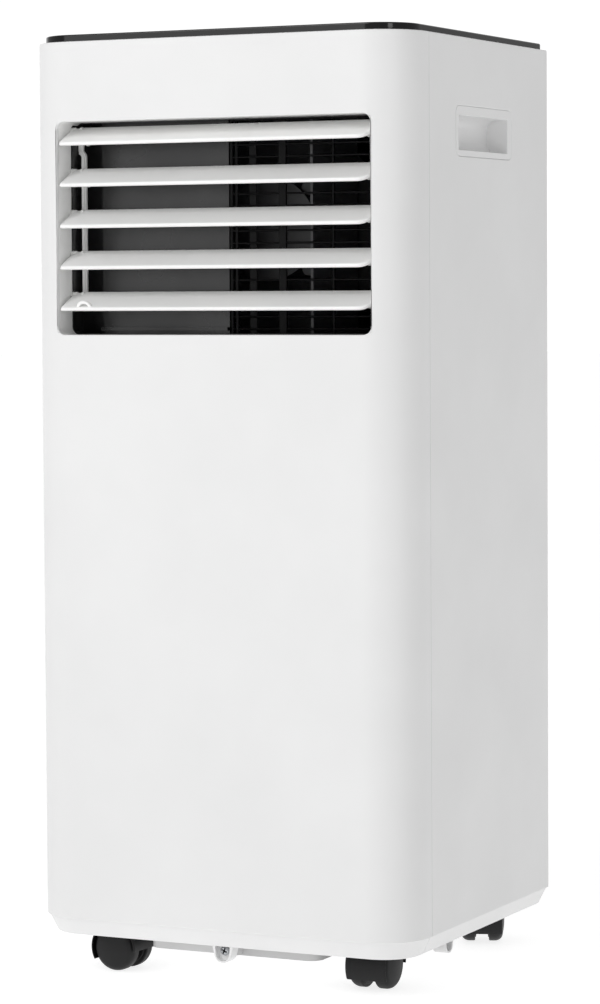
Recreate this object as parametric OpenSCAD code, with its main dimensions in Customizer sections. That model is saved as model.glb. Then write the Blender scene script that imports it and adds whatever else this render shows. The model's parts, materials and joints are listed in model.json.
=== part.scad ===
// Portable air conditioner on four swivel castors: a two-part moulded casing with a manual
// five-blade louvre at the top front, a black control panel on the top, and the cooling
// circuit inside it. The front faces -Y, +X is on the right seen from the front, and the
// castors stand on Z = 0.

/* [Casing] */
// Width across the side walls
body_w = 311; // [309:1:314]
// Depth from the front wall to the back wall
body_d = 280; // [279:1:283]
// Height of the casing's top rim above the floor
rim_z = 694; // [692:1:698]
// Thickness of the casing's walls
wall = 2.5; // [2:0.5:3]
// Corner radius at the front, seen from above
front_r = 36; // [34:1:38]
// Corner radius at the back, seen from above
rear_r = 14; // [13:1:16]
// Height where the tapered skirt starts
step_z = 43; // [42:1:45]
// Height of the skirt's lower edge
skirt_z = 30; // [29:1:31]

/* [Air outlet] */
// Width of the outlet in the front wall
outlet_w = 254.6; // [253:0.2:255]
// Lower edge of the outlet
outlet_low = 478.4; // [478:0.1:479]
// Upper edge of the outlet
outlet_high = 635.2; // [635:0.1:636]
// Distance between two blades
blade_pitch = 30.5; // [30:0.1:31]
// Width of a blade from its front edge to its rear edge
blade_chord = 29; // [28:0.5:29.5]
// Slope of the blades at rest, front edge down
blade_tilt = 26; // [24:1:28]

/* [Castors] */
// Radius of a castor wheel
wheel_r = 17.5; // [17:0.1:18]
// Distance from a swivel axis to its wheel axle
trail = 10; // [9:1:10]
// Swivel axes either side of the middle
castor_x = 109; // [107:0.5:109]

/* [Hidden] */
half_w = body_w / 2;
front_y = -body_d / 2;
back_y = body_d / 2;
$fn = 64;
eps = 0.01;
gap = 0.3;

// casing
skirt_in = 8;
step_in = 2;
lip_w = 12;
lip_t = 2.5;
seam_y = front_y + 41.1;
seam_half = 0.25;

// control panel on the top
panel_in = 5;
panel_t = 5.4;
key_proud = 0.6;
key_r = 6.5;
key_y = front_y + 42;
key_x = [-100, -70, -40, 62, 92];
window_x = 11;
window_w = 56;
window_d = 24;

// louvre
outlet_mid = (outlet_low + outlet_high) / 2;
outlet_h = outlet_high - outlet_low;
blade_y = front_y + 25;
blade_z = [for (i = [0:4]) outlet_high - 5.7 - i * blade_pitch];
blade_back = 4;
blade_half = 125.8;
blade_t = 3.2;
pin_r = 2.5;
bore_r = 2.56;
crank_y = 9;
crank_z = -8;
crank_r = 1.5;
rod_x = -122.2;
rod_w = 3.8;
rod_t = 2.6;
eye_r = 3;
top_eye_x = rod_x - 2.4;
frame_in = 127.6;
collar_in = 126.9;
collar_d = 7.7;
frame_front = front_y + 4.8;
frame_back = front_y + 31;

// air path behind the louvre
duct_front = front_y + 31.2;
duct_x = 134;
duct_low = 468;
duct_high = 648;
guard_y = front_y + 45;

// side handles
grip_y = 3;
grip_z = 625.6;
grip_w = 106;
grip_h = 36.2;
pocket_w = 93.4;
pocket_h = 25.4;
pocket_z = 624.4;
pocket_depth = 17;

// castors: [x, y, angle about Z] of each swivel
castor_front_y = front_y + 44;
castor_rear_y = back_y - 35;
castors = [[-castor_x, castor_front_y, -95], [castor_x - 4.5, castor_front_y, 0],
           [-castor_x, castor_rear_y, -40], [castor_x, castor_rear_y, 22]];
stem_r = 4;
stem_bore_r = 4.05;
axle_r = 2.5;
well_r = 34;
well_z = 39.5;
hood_top = 37.5;
hood_r = 19.6;
wheel_in = 4.6;
wheel_out = 17.6;

// base pan
pan_in = 11;
pan_low = 20.6;
pan_t = 3;
tray_low = skirt_z + 1;
drop_w = 140;
drop_d = 192;
front_lug_x = 1.9;
side_lug_y = front_y + 91.5;
side_lug_up = 4.3;
drain_z = 53;
comp_feet = [30, 150, 270];

// lower compartment
comp_x = -62;
comp_y = -55;
comp_r = 48;
comp_low = 50;
comp_join = 170;
comp_top = comp_join + 74.3;
accu_x = 16;
accu_y = -62;
low_fan_x = 30;
low_fan_z = 180;
low_fan_y = 12;
low_fan_len = 70;
exhaust_x = 43;
exhaust_z = 372;
exhaust_r = 60;

// upper compartment
deck_z = 440;
top_fan_x = 10;
top_fan_z = 556;
fan_r = 72;
shaft_r = 4;
coil_d = 26;

// back wall
filter_w = 246;
top_filter_z = 560;
top_filter_h = 216;
low_filter_z = 178;
low_filter_h = 220;
drain_r = 6;
drains = [[-120, 431], [0, drain_z]];
cord_x = -132;
cord_z = 330;

// ---- shared shapes ----

// Rectangle with round corners, centred
module round_rect(w, h, r) {
    square([w - 2 * r, h], center = true);
    square([w, h - 2 * r], center = true);
    for (sx = [-1, 1], sy = [-1, 1])
        translate([sx * (w / 2 - r), sy * (h / 2 - r)]) circle(r);
}

// Plan outline of the casing, drawn inset by a distance
module outline(inset = 0) {
    hw = half_w - inset;
    fr = max(front_r - inset, 1);
    rr = max(rear_r - inset, 1);
    f = front_y + inset;
    b = back_y - inset;
    translate([-hw, f + fr]) square([2 * hw, b - rr - f - fr]);
    translate([-hw + fr, f]) square([2 * (hw - fr), fr + eps]);
    translate([-hw + rr, b - rr - eps]) square([2 * (hw - rr), rr + eps]);
    for (s = [-1, 1]) {
        translate([s * (hw - fr), f + fr]) circle(fr);
        translate([s * (hw - rr), b - rr]) circle(rr);
    }
}

// A plan-shaped plate between two heights
module slab(inset, low, high) {
    translate([0, 0, low]) linear_extrude(high - low) outline(inset);
}

// Extrude a drawing of (x, z) along Y, from y0 to y1
module along_y(y0, y1) {
    translate([0, y1, 0]) rotate([90, 0, 0]) linear_extrude(y1 - y0) children();
}

// Extrude a drawing of (y, z) along X, from x0 to x1
module along_x(x0, x1) {
    translate([x0, 0, 0]) rotate([90, 0, 90]) linear_extrude(x1 - x0) children();
}

// Round bar along Y
module bar_y(x, z, r, y0, y1) {
    along_y(y0, y1) translate([x, z]) circle(r);
}

// Round bar along X
module bar_x(y, z, r, x0, x1) {
    along_x(x0, x1) translate([y, z]) circle(r);
}

// ---- casing ----

// The whole moulded shell, before it is split at the side seam
module shell() {
    difference() {
        union() {
            slab(0, step_z, rim_z);
            hull($fn = 32) {
                slab(step_in, step_z - 1, step_z + eps);
                slab(skirt_in, skirt_z, skirt_z + 1);
            }
        }
        slab(skirt_in + wall, skirt_z - 1, step_z + wall + 1);
        slab(wall, step_z + wall, rim_z - lip_t);
        slab(lip_w, rim_z - lip_t - 1, rim_z + 1);
    }
}

// Everything in front of the side seam, or behind it
module seam_zone(is_front) {
    y = is_front ? front_y - 50 : seam_y + seam_half;
    d = is_front ? seam_y - seam_half - y : back_y + 50 - y;
    translate([-half_w - 10, y, 0]) cube([body_w + 20, d, rim_z + 20]);
}

// Screw lug that hangs below the skirt; the screw goes inwards, along +Y
module screw_lug() {
    lug_r = 8.6;
    lug_z = skirt_z - 3.6;
    along_y(-2, 9) difference() {
        union() {
            translate([0, lug_z]) circle(lug_r);
            translate([-lug_r, lug_z]) square([2 * lug_r, 10]);
        }
        translate([0, lug_z]) circle(lug_r - 2);
        translate([2 - lug_r, lug_z]) square([2 * lug_r - 4, 20]);
    }
    along_y(3, 5) difference() {
        translate([0, lug_z]) circle(lug_r - 2 + eps);
        translate([0, lug_z]) circle(2.1);
    }
}

module front_casing() color("white") {
    difference() {
        intersection() {
            shell();
            seam_zone(true);
        }
        along_y(front_y - 5, front_y + 30)
            translate([0, outlet_mid]) round_rect(outlet_w, outlet_h, 6);
    }
    // lip that turns in round the outlet
    along_y(front_y + 2.1, front_y + 4.6) translate([0, outlet_mid]) difference() {
        round_rect(outlet_w + 3, outlet_h + 3, 7.5);
        round_rect(outlet_w, outlet_h, 6);
    }
    translate([front_lug_x, front_y + 10.2, 0]) screw_lug();
}

module rear_casing() color("white") {
    difference() {
        intersection() {
            shell();
            seam_zone(false);
        }
        for (s = [-1, 1]) {
            // seat and hole for each handle
            along_x(s > 0 ? half_w - 1 : -half_w - 5, s > 0 ? half_w + 5 : -half_w + 1)
                translate([grip_y, grip_z]) round_rect(grip_w + 0.6, grip_h + 0.6, 6.3);
            along_x(s > 0 ? half_w - 5 : -half_w - 5, s > 0 ? half_w + 5 : -half_w + 5)
                translate([grip_y, grip_z]) round_rect(grip_w - 6, grip_h - 4, 4);
            // room for the rear castors to turn
            translate([s * castor_x, castor_rear_y, skirt_z - 2]) cylinder(r = well_r, h = 12);
        }
        // air inlets, behind the two filters
        along_y(back_y - 6, back_y + 5) {
            translate([0, top_filter_z]) round_rect(filter_w, top_filter_h, 5);
            translate([0, low_filter_z]) round_rect(filter_w, low_filter_h, 5);
        }
        // exhaust, drains and cord
        bar_y(exhaust_x, exhaust_z, exhaust_r + 2, back_y - 6, back_y + 5);
        for (d = drains) bar_y(d[0], d[1], drain_r + 2, back_y - 12, back_y + 5);
        bar_y(cord_x, cord_z, 8, back_y - 6, back_y + 5);
    }
    for (s = [-1, 1])
        translate([s * (half_w - 10.2), side_lug_y, side_lug_up]) rotate([0, 0, s * 90]) screw_lug();
}

// Screws through the three lugs, with a cross recess in each head
module lug_screw() {
    z = skirt_z - 3.6;
    difference() {
        bar_y(0, z, 3.6, 0.6, 3);
        for (a = [0, 90])
            translate([0, 0, z]) rotate([0, a, 0]) translate([-2.4, 0, -0.45]) cube([4.8, 1.6, 0.9]);
    }
    bar_y(0, z, 2, 3 - eps, 12);
}

module casing_screws() color("silver") at_lugs() lug_screw();

// ---- top ----

module top_frame() color("gainsboro") {
    difference() {
        slab(wall + gap, rim_z - 12, rim_z - lip_t - 0.1);
        slab(wall + gap + 3, rim_z - 10, rim_z);
        // window above the control board, and lightening windows
        translate([-115, key_y - 16, rim_z - 13]) cube([222, 34, 6]);
        for (x = [-105, 5]) translate([x, -50, rim_z - 13]) cube([100, 140, 6]);
    }
    // posts that the panel rests on
    for (x = [-130, 130], y = [-60, 90])
        translate([x, y, rim_z - 10 - eps]) cylinder(r = 5, h = 10);
}

module top_panel() color([0.03, 0.03, 0.03]) {
    difference() {
        union() {
            slab(panel_in, rim_z, rim_z + panel_t - 1.2);
            slab(panel_in + 1, rim_z, rim_z + panel_t);
        }
        for (x = key_x) translate([x, key_y, rim_z - 1]) {
            cylinder(r = key_r + 0.2, h = panel_t + 2);
            cylinder(r = key_r + 2, h = 3.6);
        }
        translate([window_x, key_y, rim_z + panel_t - 1])
            linear_extrude(3) round_rect(window_w + 0.4, window_d + 0.4, 3);
    }
}

module display_window() color([0.1, 0.1, 0.12]) {
    translate([window_x, key_y, rim_z + panel_t - 0.9])
        linear_extrude(0.9) round_rect(window_w, window_d, 2.8);
}

// Push key: a round cap on a wider flange, with a stem down to its switch
module key(i) {
    color("dimgray") translate([key_x[i], key_y, rim_z]) {
        cylinder(r = key_r, h = panel_t + key_proud);
        translate([0, 0, 0.9]) cylinder(r = key_r + 1.4, h = 1.5);
        translate([0, 0, -4]) cylinder(r = 2.5, h = 5);
    }
}

module control_board() color("darkgreen") {
    translate([-112, key_y - 14, rim_z - 9.4]) cube([216, 28, 1.6]);
    for (x = key_x) translate([x, key_y, rim_z - 8]) cylinder(r = 3, h = 2);
    translate([window_x - 22, key_y - 9, rim_z - 8]) cube([44, 18, 7]);
}

// ---- base ----

module base_pan() color("lightgray") {
    difference() {
        union() {
            difference() {
                slab(pan_in, tray_low, 64);
                slab(pan_in + 2.5, tray_low + pan_t, 65);
            }
            // lowered middle of the pan, with its sump
            pan_drop(0, pan_low);
            translate([38, -70, pan_low - 1.6]) linear_extrude(pan_t) round_rect(50, 60, 12);
            for (c = castors) intersection() {
                slab(pan_in, tray_low, 64);
                translate([c[0], c[1], tray_low])
                    cylinder(r = well_r + 2.5, h = well_z + pan_t - tray_low);
            }
            for (c = castors) translate([c[0], c[1], well_z]) cylinder(r = 9, h = 21);
        }
        difference() {
            pan_drop(2.5, pan_low + 2.5);
            for (a = comp_feet) translate([comp_x, comp_y, 0]) rotate(a)
                translate([comp_r + 9, 0, 0]) cylinder(r = 11, h = tray_low + pan_t);
        }
        for (c = castors) translate([c[0], c[1], tray_low - 3]) {
            cylinder(r = well_r, h = well_z - tray_low + 3);
            cylinder(r = stem_bore_r, h = 60);
        }
        bar_y(0, drain_z, drain_r, back_y - 30, back_y);
        at_lugs() lug_room();
        at_lugs() lug_bore();
    }
    at_lugs() lug_boss();
}

// Outline of the lowered middle, from a height up to the tray's floor
module pan_drop(inset, low) {
    translate([0, -16, low]) linear_extrude(tray_low + pan_t + eps - low)
        round_rect(drop_w - 2 * inset, drop_d - 2 * inset, 10);
}

// The three places where the casing is screwed to the pan, with +Y inwards
module at_lugs() {
    translate([front_lug_x, front_y + 10.2, 0]) children();
    for (s = [-1, 1])
        translate([s * (half_w - 10.2), side_lug_y, side_lug_up]) rotate([0, 0, s * 90]) children();
}

// Space that the pan leaves round a lug
module lug_room() {
    translate([-9, -3, skirt_z - 14]) cube([18, 12.3, 22]);
}

// Boss that takes a lug's screw
module lug_boss() {
    difference() {
        translate([-7, 9.4, pan_low + 1.5]) cube([14, 9, tray_low - pan_low - 1.5 + eps]);
        lug_bore();
    }
}

module lug_bore() {
    bar_y(0, skirt_z - 3.6, 2.02, 5, 15);
}

// ---- louvre ----

module louvre_frame() color("white") {
    out_w = 2 * frame_in + 5.4;
    difference() {
        along_y(frame_front, frame_back) translate([0, outlet_mid]) difference() {
            round_rect(out_w, outlet_h + 6, 8);
            round_rect(2 * frame_in, outlet_h + 0.6, 6);
        }
        for (z = blade_z) bar_x(blade_y, z, bore_r, -out_w, out_w);
    }
}

// Blade i: its pivot runs near the rear edge, and a crank arm at its left end takes the rod
module louvre(i) {
    color("white") translate([0, blade_y, blade_z[i]]) {
        difference() {
            along_x(-blade_half, blade_half) rotate(blade_tilt)
                translate([blade_back - blade_chord / 2, 0]) round_rect(blade_chord, blade_t, 1.5);
            // notch that the link rod passes
            rotate([blade_tilt, 0, 0]) translate([rod_x - 10, 1.5, -10]) cube([12.5, 20, 20]);
            // front corner cut away at the right end
            rotate([blade_tilt, 0, 0]) translate([blade_half, blade_back - blade_chord, 0])
                rotate([0, 0, 45]) cube([13, 13, 20], center = true);
        }
        bar_x(0, 0, pin_r, -frame_in - 2.4, -blade_half + 2);
        bar_x(0, 0, pin_r, blade_half - 2, frame_in + 2.4);
        // crank arm and its pin
        along_x(rod_x + 2.4, rod_x + 4.4) {
            translate([crank_y, crank_z]) circle(eye_r);
            rotate(atan2(crank_z, crank_y)) translate([-1, -2.4]) square([norm([crank_y, crank_z]) + 1, 4.8]);
        }
        bar_x(crank_y, crank_z, crank_r, i == 0 ? top_eye_x - 1.9 : rod_x - 2.2, rod_x + 2.5);
        if (i == 4) finger_tab();
    }
}

// Arched finger tab near the front edge of the lowest blade
module finger_tab() {
    rotate([blade_tilt, 0, 0]) translate([-106, blade_back - blade_chord + 3, blade_t / 2 - 0.5])
        rotate([90, 0, 0]) difference() {
            union() {
                cylinder(r = 6.4, h = 2.4, center = true);
                translate([-6.4, -1, -1.2]) cube([12.8, 1.5, 2.4]);
            }
            cylinder(r = 4.6, h = 5, center = true);
            translate([-10, -11, -5]) cube([20, 10, 10]);
        }
}

// Flat rod with an eye for each blade; its top bends left, to an eye close to the frame
module link_rod() color("white") {
    y = blade_y + crank_y;
    low = blade_z[4] + crank_z;
    high = blade_z[0] + crank_z;
    bend_z = high - 11.5;
    bend_r = 2.4;
    bend_x = rod_x - rod_w / 2 - bend_r;
    difference() {
        union() {
            along_x(rod_x - rod_w / 2, rod_x + rod_w / 2) {
                for (i = [1:4]) translate([y, blade_z[i] + crank_z]) circle(eye_r);
                translate([y - rod_t / 2, low]) square([rod_t, bend_z - low + eps]);
            }
            along_y(y - rod_t / 2, y + rod_t / 2) translate([bend_x, bend_z]) intersection() {
                difference() {
                    circle(bend_r + rod_w);
                    circle(bend_r);
                }
                square(2 * rod_w + bend_r);
            }
            along_x(top_eye_x - rod_w / 2, top_eye_x + rod_w / 2) {
                translate([y, high]) circle(eye_r);
                translate([y - rod_t / 2, bend_z + bend_r + 1]) square([rod_t, high - bend_z - bend_r]);
            }
        }
        for (z = blade_z) bar_x(y, z + crank_z, crank_r + 0.1, rod_x - 8, rod_x + 5);
    }
}

// Black duct behind the louvre, with the flat wall that hides the fan's left part
module air_duct() color([0.08, 0.08, 0.08]) {
    h = duct_high - duct_low;
    mid = (duct_high + duct_low) / 2;
    along_y(duct_front, guard_y + 6) translate([0, mid]) difference() {
        round_rect(2 * duct_x, h, 8);
        round_rect(2 * duct_x - 4, h - 4, 6);
    }
    // thin collar that lines the rear part of the louvre frame, with a hole for each pin
    difference() {
        along_y(frame_back - collar_d, duct_front + 1) difference() {
            translate([0, mid]) round_rect(2 * duct_x - 2, h - 2, 8);
            translate([0, outlet_mid]) round_rect(2 * collar_in, outlet_h - 0.8, 5.6);
        }
        along_y(frame_back - collar_d - 1, duct_front + eps) translate([0, outlet_mid]) difference() {
            round_rect(2 * duct_x + 10, h, 8);
            round_rect(2 * frame_in - 0.1, outlet_h + 0.5, 6);
        }
        // no lining above the top blade
        translate([-collar_in + 1, frame_back - collar_d - 1, outlet_mid])
            cube([2 * collar_in - 2, collar_d + 1, outlet_h]);
        for (z = blade_z) bar_x(blade_y, z, pin_r + 0.5, -duct_x, duct_x);
    }
    // wall in front of the fan, with a ledge along its foot
    translate([-113, guard_y, duct_low + 1]) cube([106, 2.5, h - 2]);
    translate([-113, guard_y - 4, 481]) cube([106, 4 + eps, 2.4]);
    // closed pocket left of that wall
    translate([-duct_x + 1, guard_y + 3.5, duct_low + 1]) cube([28, 2.5, h - 2]);
}

// Wire guard over the fan's outlet
module outlet_guard() color([0.05, 0.05, 0.05]) {
    low = duct_low + 3;
    high = duct_high - 3;
    wire_pitch = 9;
    count = floor((high - low) / wire_pitch);
    for (i = [0:count])
        bar_x(guard_y, low + 2 + i * wire_pitch, 0.8, -6, duct_x - 3);
    for (v = [[-4.5, 2.4], [-0.4, 2.4], [37, 6.4], [78, 1.8], [duct_x - 8, 2.4]])
        translate([v[0] - v[1] / 2, guard_y - 1, low]) cube([v[1], 2.4, high - low]);
    translate([9, guard_y + 1.3, low]) cube([6, 1.2, high - low]);
}

// ---- upper compartment ----

module drip_deck() color("gainsboro") {
    d = drains[0];
    difference() {
        union() {
            slab(wall + 0.7, deck_z, deck_z + 3);
            // tray under the evaporator, with its drain spout
            translate([-136, 82, deck_z]) cube([272, 44, 14]);
            translate([d[0] - 9, 108, d[1] - 7]) cube([18, 18, deck_z - d[1] + 7 + eps]);
            bar_y(d[0], d[1], 6, 125, back_y - 9.2);
        }
        translate([-134, 84, deck_z + 2]) cube([268, 40, 14]);
        bar_y(d[0], d[1], 4, 112, back_y);
        translate([d[0], 116, d[1]]) cylinder(r = 4, h = 20);
        translate([accu_x, accu_y, deck_z - 5]) cylinder(r = 5, h = 20);
    }
}

// Finned block with its two end plates
module finned_block(z0, z1, y0) {
    translate([-124, y0, z0]) cube([248, coil_d, z1 - z0]);
    for (x = [-126.5, 124 - eps]) translate([x, y0 - 1.5, z0 - 1.5])
        cube([2.5, coil_d + 3, z1 - z0 + 3]);
}

// Hairpin bends on both ends of a coil, joining tubes two rows apart
module hairpins(z0, y0, count, pitch) {
    for (s = [-1, 1], i = [0:count - 1])
        translate([s * 126.6, y0 + coil_d / 2, z0 + pitch * (i + (s > 0 ? 1 : 0.5))])
            rotate([0, s * 90, 0]) rotate([0, 0, 90]) rotate([90, 0, 0])
                rotate_extrude(angle = 180) translate([pitch / 4, 0]) circle(3.5);
}

module evaporator_coil() color("silver") finned_block(452, 664, 90);
module evaporator_tubes() color("chocolate") hairpins(452, 90, 7, 28);
module condenser_coil() color("silver") finned_block(68, 300, 90);
module condenser_tubes() color("chocolate") hairpins(68, 90, 8, 27);

// Squirrel-cage wheel on an axis along Y: a back disc with its hub, blades, and a front ring
module fan_wheel(x, z, y0, len) {
    blades = 30;
    translate([x, y0, z]) rotate([-90, 0, 0]) {
        difference() {
            union() {
                cylinder(r = fan_r, h = 2);
                cylinder(r = 11, h = 22);
            }
            translate([0, 0, -1]) cylinder(r = shaft_r + 0.05, h = 30);
        }
        difference() {
            translate([0, 0, len - 3]) cylinder(r = fan_r, h = 3);
            translate([0, 0, len - 4]) cylinder(r = fan_r - 12, h = 5);
        }
        for (i = [0:blades - 1]) rotate(i * 360 / blades)
            translate([fan_r - 11, 0, 1]) rotate(30) translate([0, -0.6, 0]) cube([10, 1.2, len - 2]);
    }
}

module top_fan_wheel() color("dimgray") fan_wheel(top_fan_x, top_fan_z, -6, 56);
module low_fan_wheel() color("dimgray") fan_wheel(low_fan_x, low_fan_z, low_fan_y + 8, 54);

// Fan motor: round case, end boss and shaft, on an axis along Y
module fan_motor(x, z, y0, len, shaft_end) {
    bar_y(x, z, 38, y0, y0 + len);
    bar_y(x, z, 12, y0 + len - eps, y0 + len + 4);
    bar_y(x, z, shaft_r, y0 + len, shaft_end);
    for (a = [45:90:315])
        bar_y(x + 42 * cos(a), z + 42 * sin(a), 5, y0 + 4, y0 + 8);
}

module top_fan_motor() color("darkgray") fan_motor(top_fan_x, top_fan_z, -62, 50, 18);
module low_fan_motor() color("darkgray") fan_motor(low_fan_x, low_fan_z, -36, 45, 44);

// Housing of the upper fan, open to the duct in front on its right
module top_scroll() color([0.75, 0.77, 0.8]) {
    y1 = 58;
    r = 88;
    difference() {
        union() {
            bar_y(top_fan_x, top_fan_z, r, -12, y1);
            translate([top_fan_x, -12, duct_low + 6]) cube([118, y1 + 12, 164]);
            translate([top_fan_x + 46, guard_y + 7, duct_low + 6]) cube([72, 80, 164]);
        }
        bar_y(top_fan_x, top_fan_z, r - 2, -10, y1 - 2);
        translate([top_fan_x, -10, duct_low + 8]) cube([116, y1 + 8, 160]);
        translate([top_fan_x + 48, guard_y + 6, duct_low + 8]) cube([68, 110, 160]);
        bar_y(top_fan_x, top_fan_z, 60, y1 - 5, y1 + 5);
        bar_y(top_fan_x, top_fan_z, 12.3, -20, -5);
    }
}

// Housing of the lower fan, with its throat up to the exhaust
module low_scroll() color([0.75, 0.77, 0.8]) {
    y0 = low_fan_y + 1;
    y1 = low_fan_y + low_fan_len;
    r = 88;
    top = deck_z - 3;
    difference() {
        union() {
            bar_y(low_fan_x, low_fan_z, r, y0, y1);
            translate([low_fan_x - 52, y0, low_fan_z]) cube([140, y1 - y0, top - low_fan_z]);
            bar_y(exhaust_x, exhaust_z, exhaust_r - 1, y1 - 1, back_y - 12);
        }
        bar_y(low_fan_x, low_fan_z, r - 2, y0 + 2, y1 - 2);
        translate([low_fan_x - 50, y0 + 2, low_fan_z])
            cube([136, y1 - y0 - 4, top - 2 - low_fan_z]);
        // the neck is narrower than the collar, so that a hose's spigot stops on its end
        bar_y(exhaust_x, exhaust_z, exhaust_r - 4, y1 - 5, back_y);
        bar_y(low_fan_x, low_fan_z, 60, y1 - 5, y1 + 5);
        bar_y(low_fan_x, low_fan_z, 12.3, y0 - 2, y0 + 5);
    }
}

// ---- lower compartment ----

module compressor_shell() color([0.12, 0.12, 0.13]) {
    translate([comp_x, comp_y, comp_low]) {
        difference() {
            cylinder(r = comp_r, h = comp_join - comp_low);
            translate([0, 0, 6]) cylinder(r = comp_r - 4, h = comp_join);
        }
        // mounting feet
        for (a = comp_feet) rotate(a) difference() {
            translate([comp_r - 4, -9, 0]) cube([22, 18, 4]);
            translate([comp_r + 9, 0, -1]) cylinder(r = 4.5, h = 6);
        }
    }
}

module compressor_cap() color([0.12, 0.12, 0.13]) {
    translate([comp_x, comp_y, comp_join + 0.1]) difference() {
        union() {
            cylinder(r = comp_r, h = 60);
            translate([0, 0, 60 - eps]) cylinder(r1 = comp_r, r2 = comp_r - 18, h = 14);
        }
        translate([0, 0, -1]) cylinder(r = comp_r - 4, h = 61);
    }
}

module compressor_grommets() color([0.1, 0.1, 0.1]) {
    low = tray_low + pan_t;
    for (a = comp_feet) translate([comp_x, comp_y, low]) rotate(a)
        translate([comp_r + 9, 0, 0]) difference() {
            union() {
                cylinder(r = 9, h = comp_low - low);
                cylinder(r = 4.4, h = comp_low - low + 6);
            }
            translate([0, 0, -1]) cylinder(r = 2.5, h = 50);
        }
}

module accumulator() color([0.12, 0.12, 0.13]) {
    translate([accu_x, accu_y, 90]) {
        cylinder(r = 20, h = 120);
        translate([0, 0, 120 - eps]) cylinder(r1 = 20, r2 = 7, h = 12);
        translate([0, 0, -10]) cylinder(r1 = 7, r2 = 20, h = 10 + eps);
    }
}

// Quarter bend of copper pipe in the vertical plane along Y
module bend() {
    rotate([90, 0, 90]) rotate_extrude(angle = 90) translate([14, 0]) circle(4);
}

module refrigerant_pipes() color("chocolate") {
    // compressor to condenser: up, over and down
    translate([comp_x - 20, comp_y, comp_top]) cylinder(r = 4, h = 302 - comp_top);
    translate([comp_x - 20, comp_y + 14, 302]) rotate([0, 0, 180]) bend();
    bar_y(comp_x - 20, 316, 4, comp_y + 14, 89);
    translate([comp_x - 20, 89, 302]) bend();
    // accumulator up through the deck
    translate([accu_x, accu_y, 222.2]) cylinder(r = 4, h = 230);
}

module control_box() color("lightgray") {
    translate([44, -112, 300]) difference() {
        cube([90, 70, 120]);
        translate([2, 2, 2]) cube([86, 80, 116]);
    }
    translate([50, -100, 306]) cube([78, 1.6, 108]);
}

module capacitor() color("silver") {
    translate([66, -78, 302.1]) {
        cylinder(r = 17, h = 56);
        cylinder(r = 15, h = 60);
    }
}

// ---- side handles ----

module handle(s) {
    mirror([s < 0 ? 1 : 0, 0, 0]) color("white") difference() {
        union() {
            along_x(half_w - 0.95, half_w)
                translate([grip_y, grip_z]) round_rect(grip_w, grip_h, 6);
            along_x(half_w - pocket_depth - 2, half_w - 0.9)
                translate([grip_y, pocket_z]) round_rect(pocket_w + 4, pocket_h + 4, 4);
        }
        along_x(half_w - pocket_depth, half_w + 1)
            translate([grip_y - 1.7, pocket_z]) round_rect(pocket_w, pocket_h, 3);
    }
}

// ---- back wall ----

module exhaust_collar() color("white") {
    difference() {
        union() {
            bar_y(exhaust_x, exhaust_z, exhaust_r + 7, back_y - 11, back_y - wall - 0.1);
            bar_y(exhaust_x, exhaust_z, exhaust_r + 1.6, back_y - 11, back_y - 0.4);
        }
        bar_y(exhaust_x, exhaust_z, exhaust_r - 2, back_y - 15, back_y + 5);
    }
}

// Filter frame with its slatted cover, h high, centred at height z
module filter(z, h) {
    w = filter_w - 0.8;
    fh = h - 0.8;
    slots = floor((fh - 24) / 10);
    difference() {
        along_y(back_y - 5, back_y - 0.5) translate([0, z]) round_rect(w, fh, 4.6);
        for (i = [0:slots - 1], s = [-1, 0, 1])
            translate([s * 78 - 36, back_y - 10, z - fh / 2 + 14 + i * 10]) cube([72, 20, 5]);
        // finger recess at the top edge
        bar_y(0, z + fh / 2, 9, back_y - 2.5, back_y + 5);
    }
    // mesh carrier behind the cover
    along_y(back_y - 9, back_y - 5) translate([0, z]) difference() {
        round_rect(w - 4, fh - 4, 3);
        round_rect(w - 12, fh - 12, 3);
    }
    for (x = [-60, 0, 60]) translate([x - 1, back_y - 8, z - fh / 2 + 4]) cube([2, 3.1, fh - 8]);
}

module upper_filter() color("white") filter(top_filter_z, top_filter_h);
module lower_filter() color("white") filter(low_filter_z, low_filter_h);

// Rubber plug: a head in the casing's hole and a stem in the drain behind it
module drain_plug(d, stem) {
    difference() {
        union() {
            bar_y(d[0], d[1], drain_r + 1.9, back_y - 9, back_y - 0.2);
            bar_y(d[0], d[1], stem, back_y - 15, back_y - 9 + eps);
        }
        bar_y(d[0], d[1], drain_r - 1, back_y - 3, back_y + 1);
    }
}

module upper_drain_plug() color([0.1, 0.1, 0.1]) drain_plug(drains[0], 3.9);
module lower_drain_plug() color([0.1, 0.1, 0.1]) drain_plug(drains[1], drain_r - 0.1);

module cord_gland() color([0.1, 0.1, 0.1]) {
    difference() {
        union() {
            bar_y(cord_x, cord_z, 7.8, back_y - 8, back_y - 0.2);
            bar_y(cord_x, cord_z, 10.5, back_y - 8, back_y - wall - 0.1);
        }
        bar_y(cord_x, cord_z, 3.6, back_y - 12, back_y + 5);
    }
}

// ---- castors ----

// Place a shape at castor c, turned to its resting angle
module at_castor(c) {
    translate([c[0], c[1], 0]) rotate(c[2]) children();
}

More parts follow.
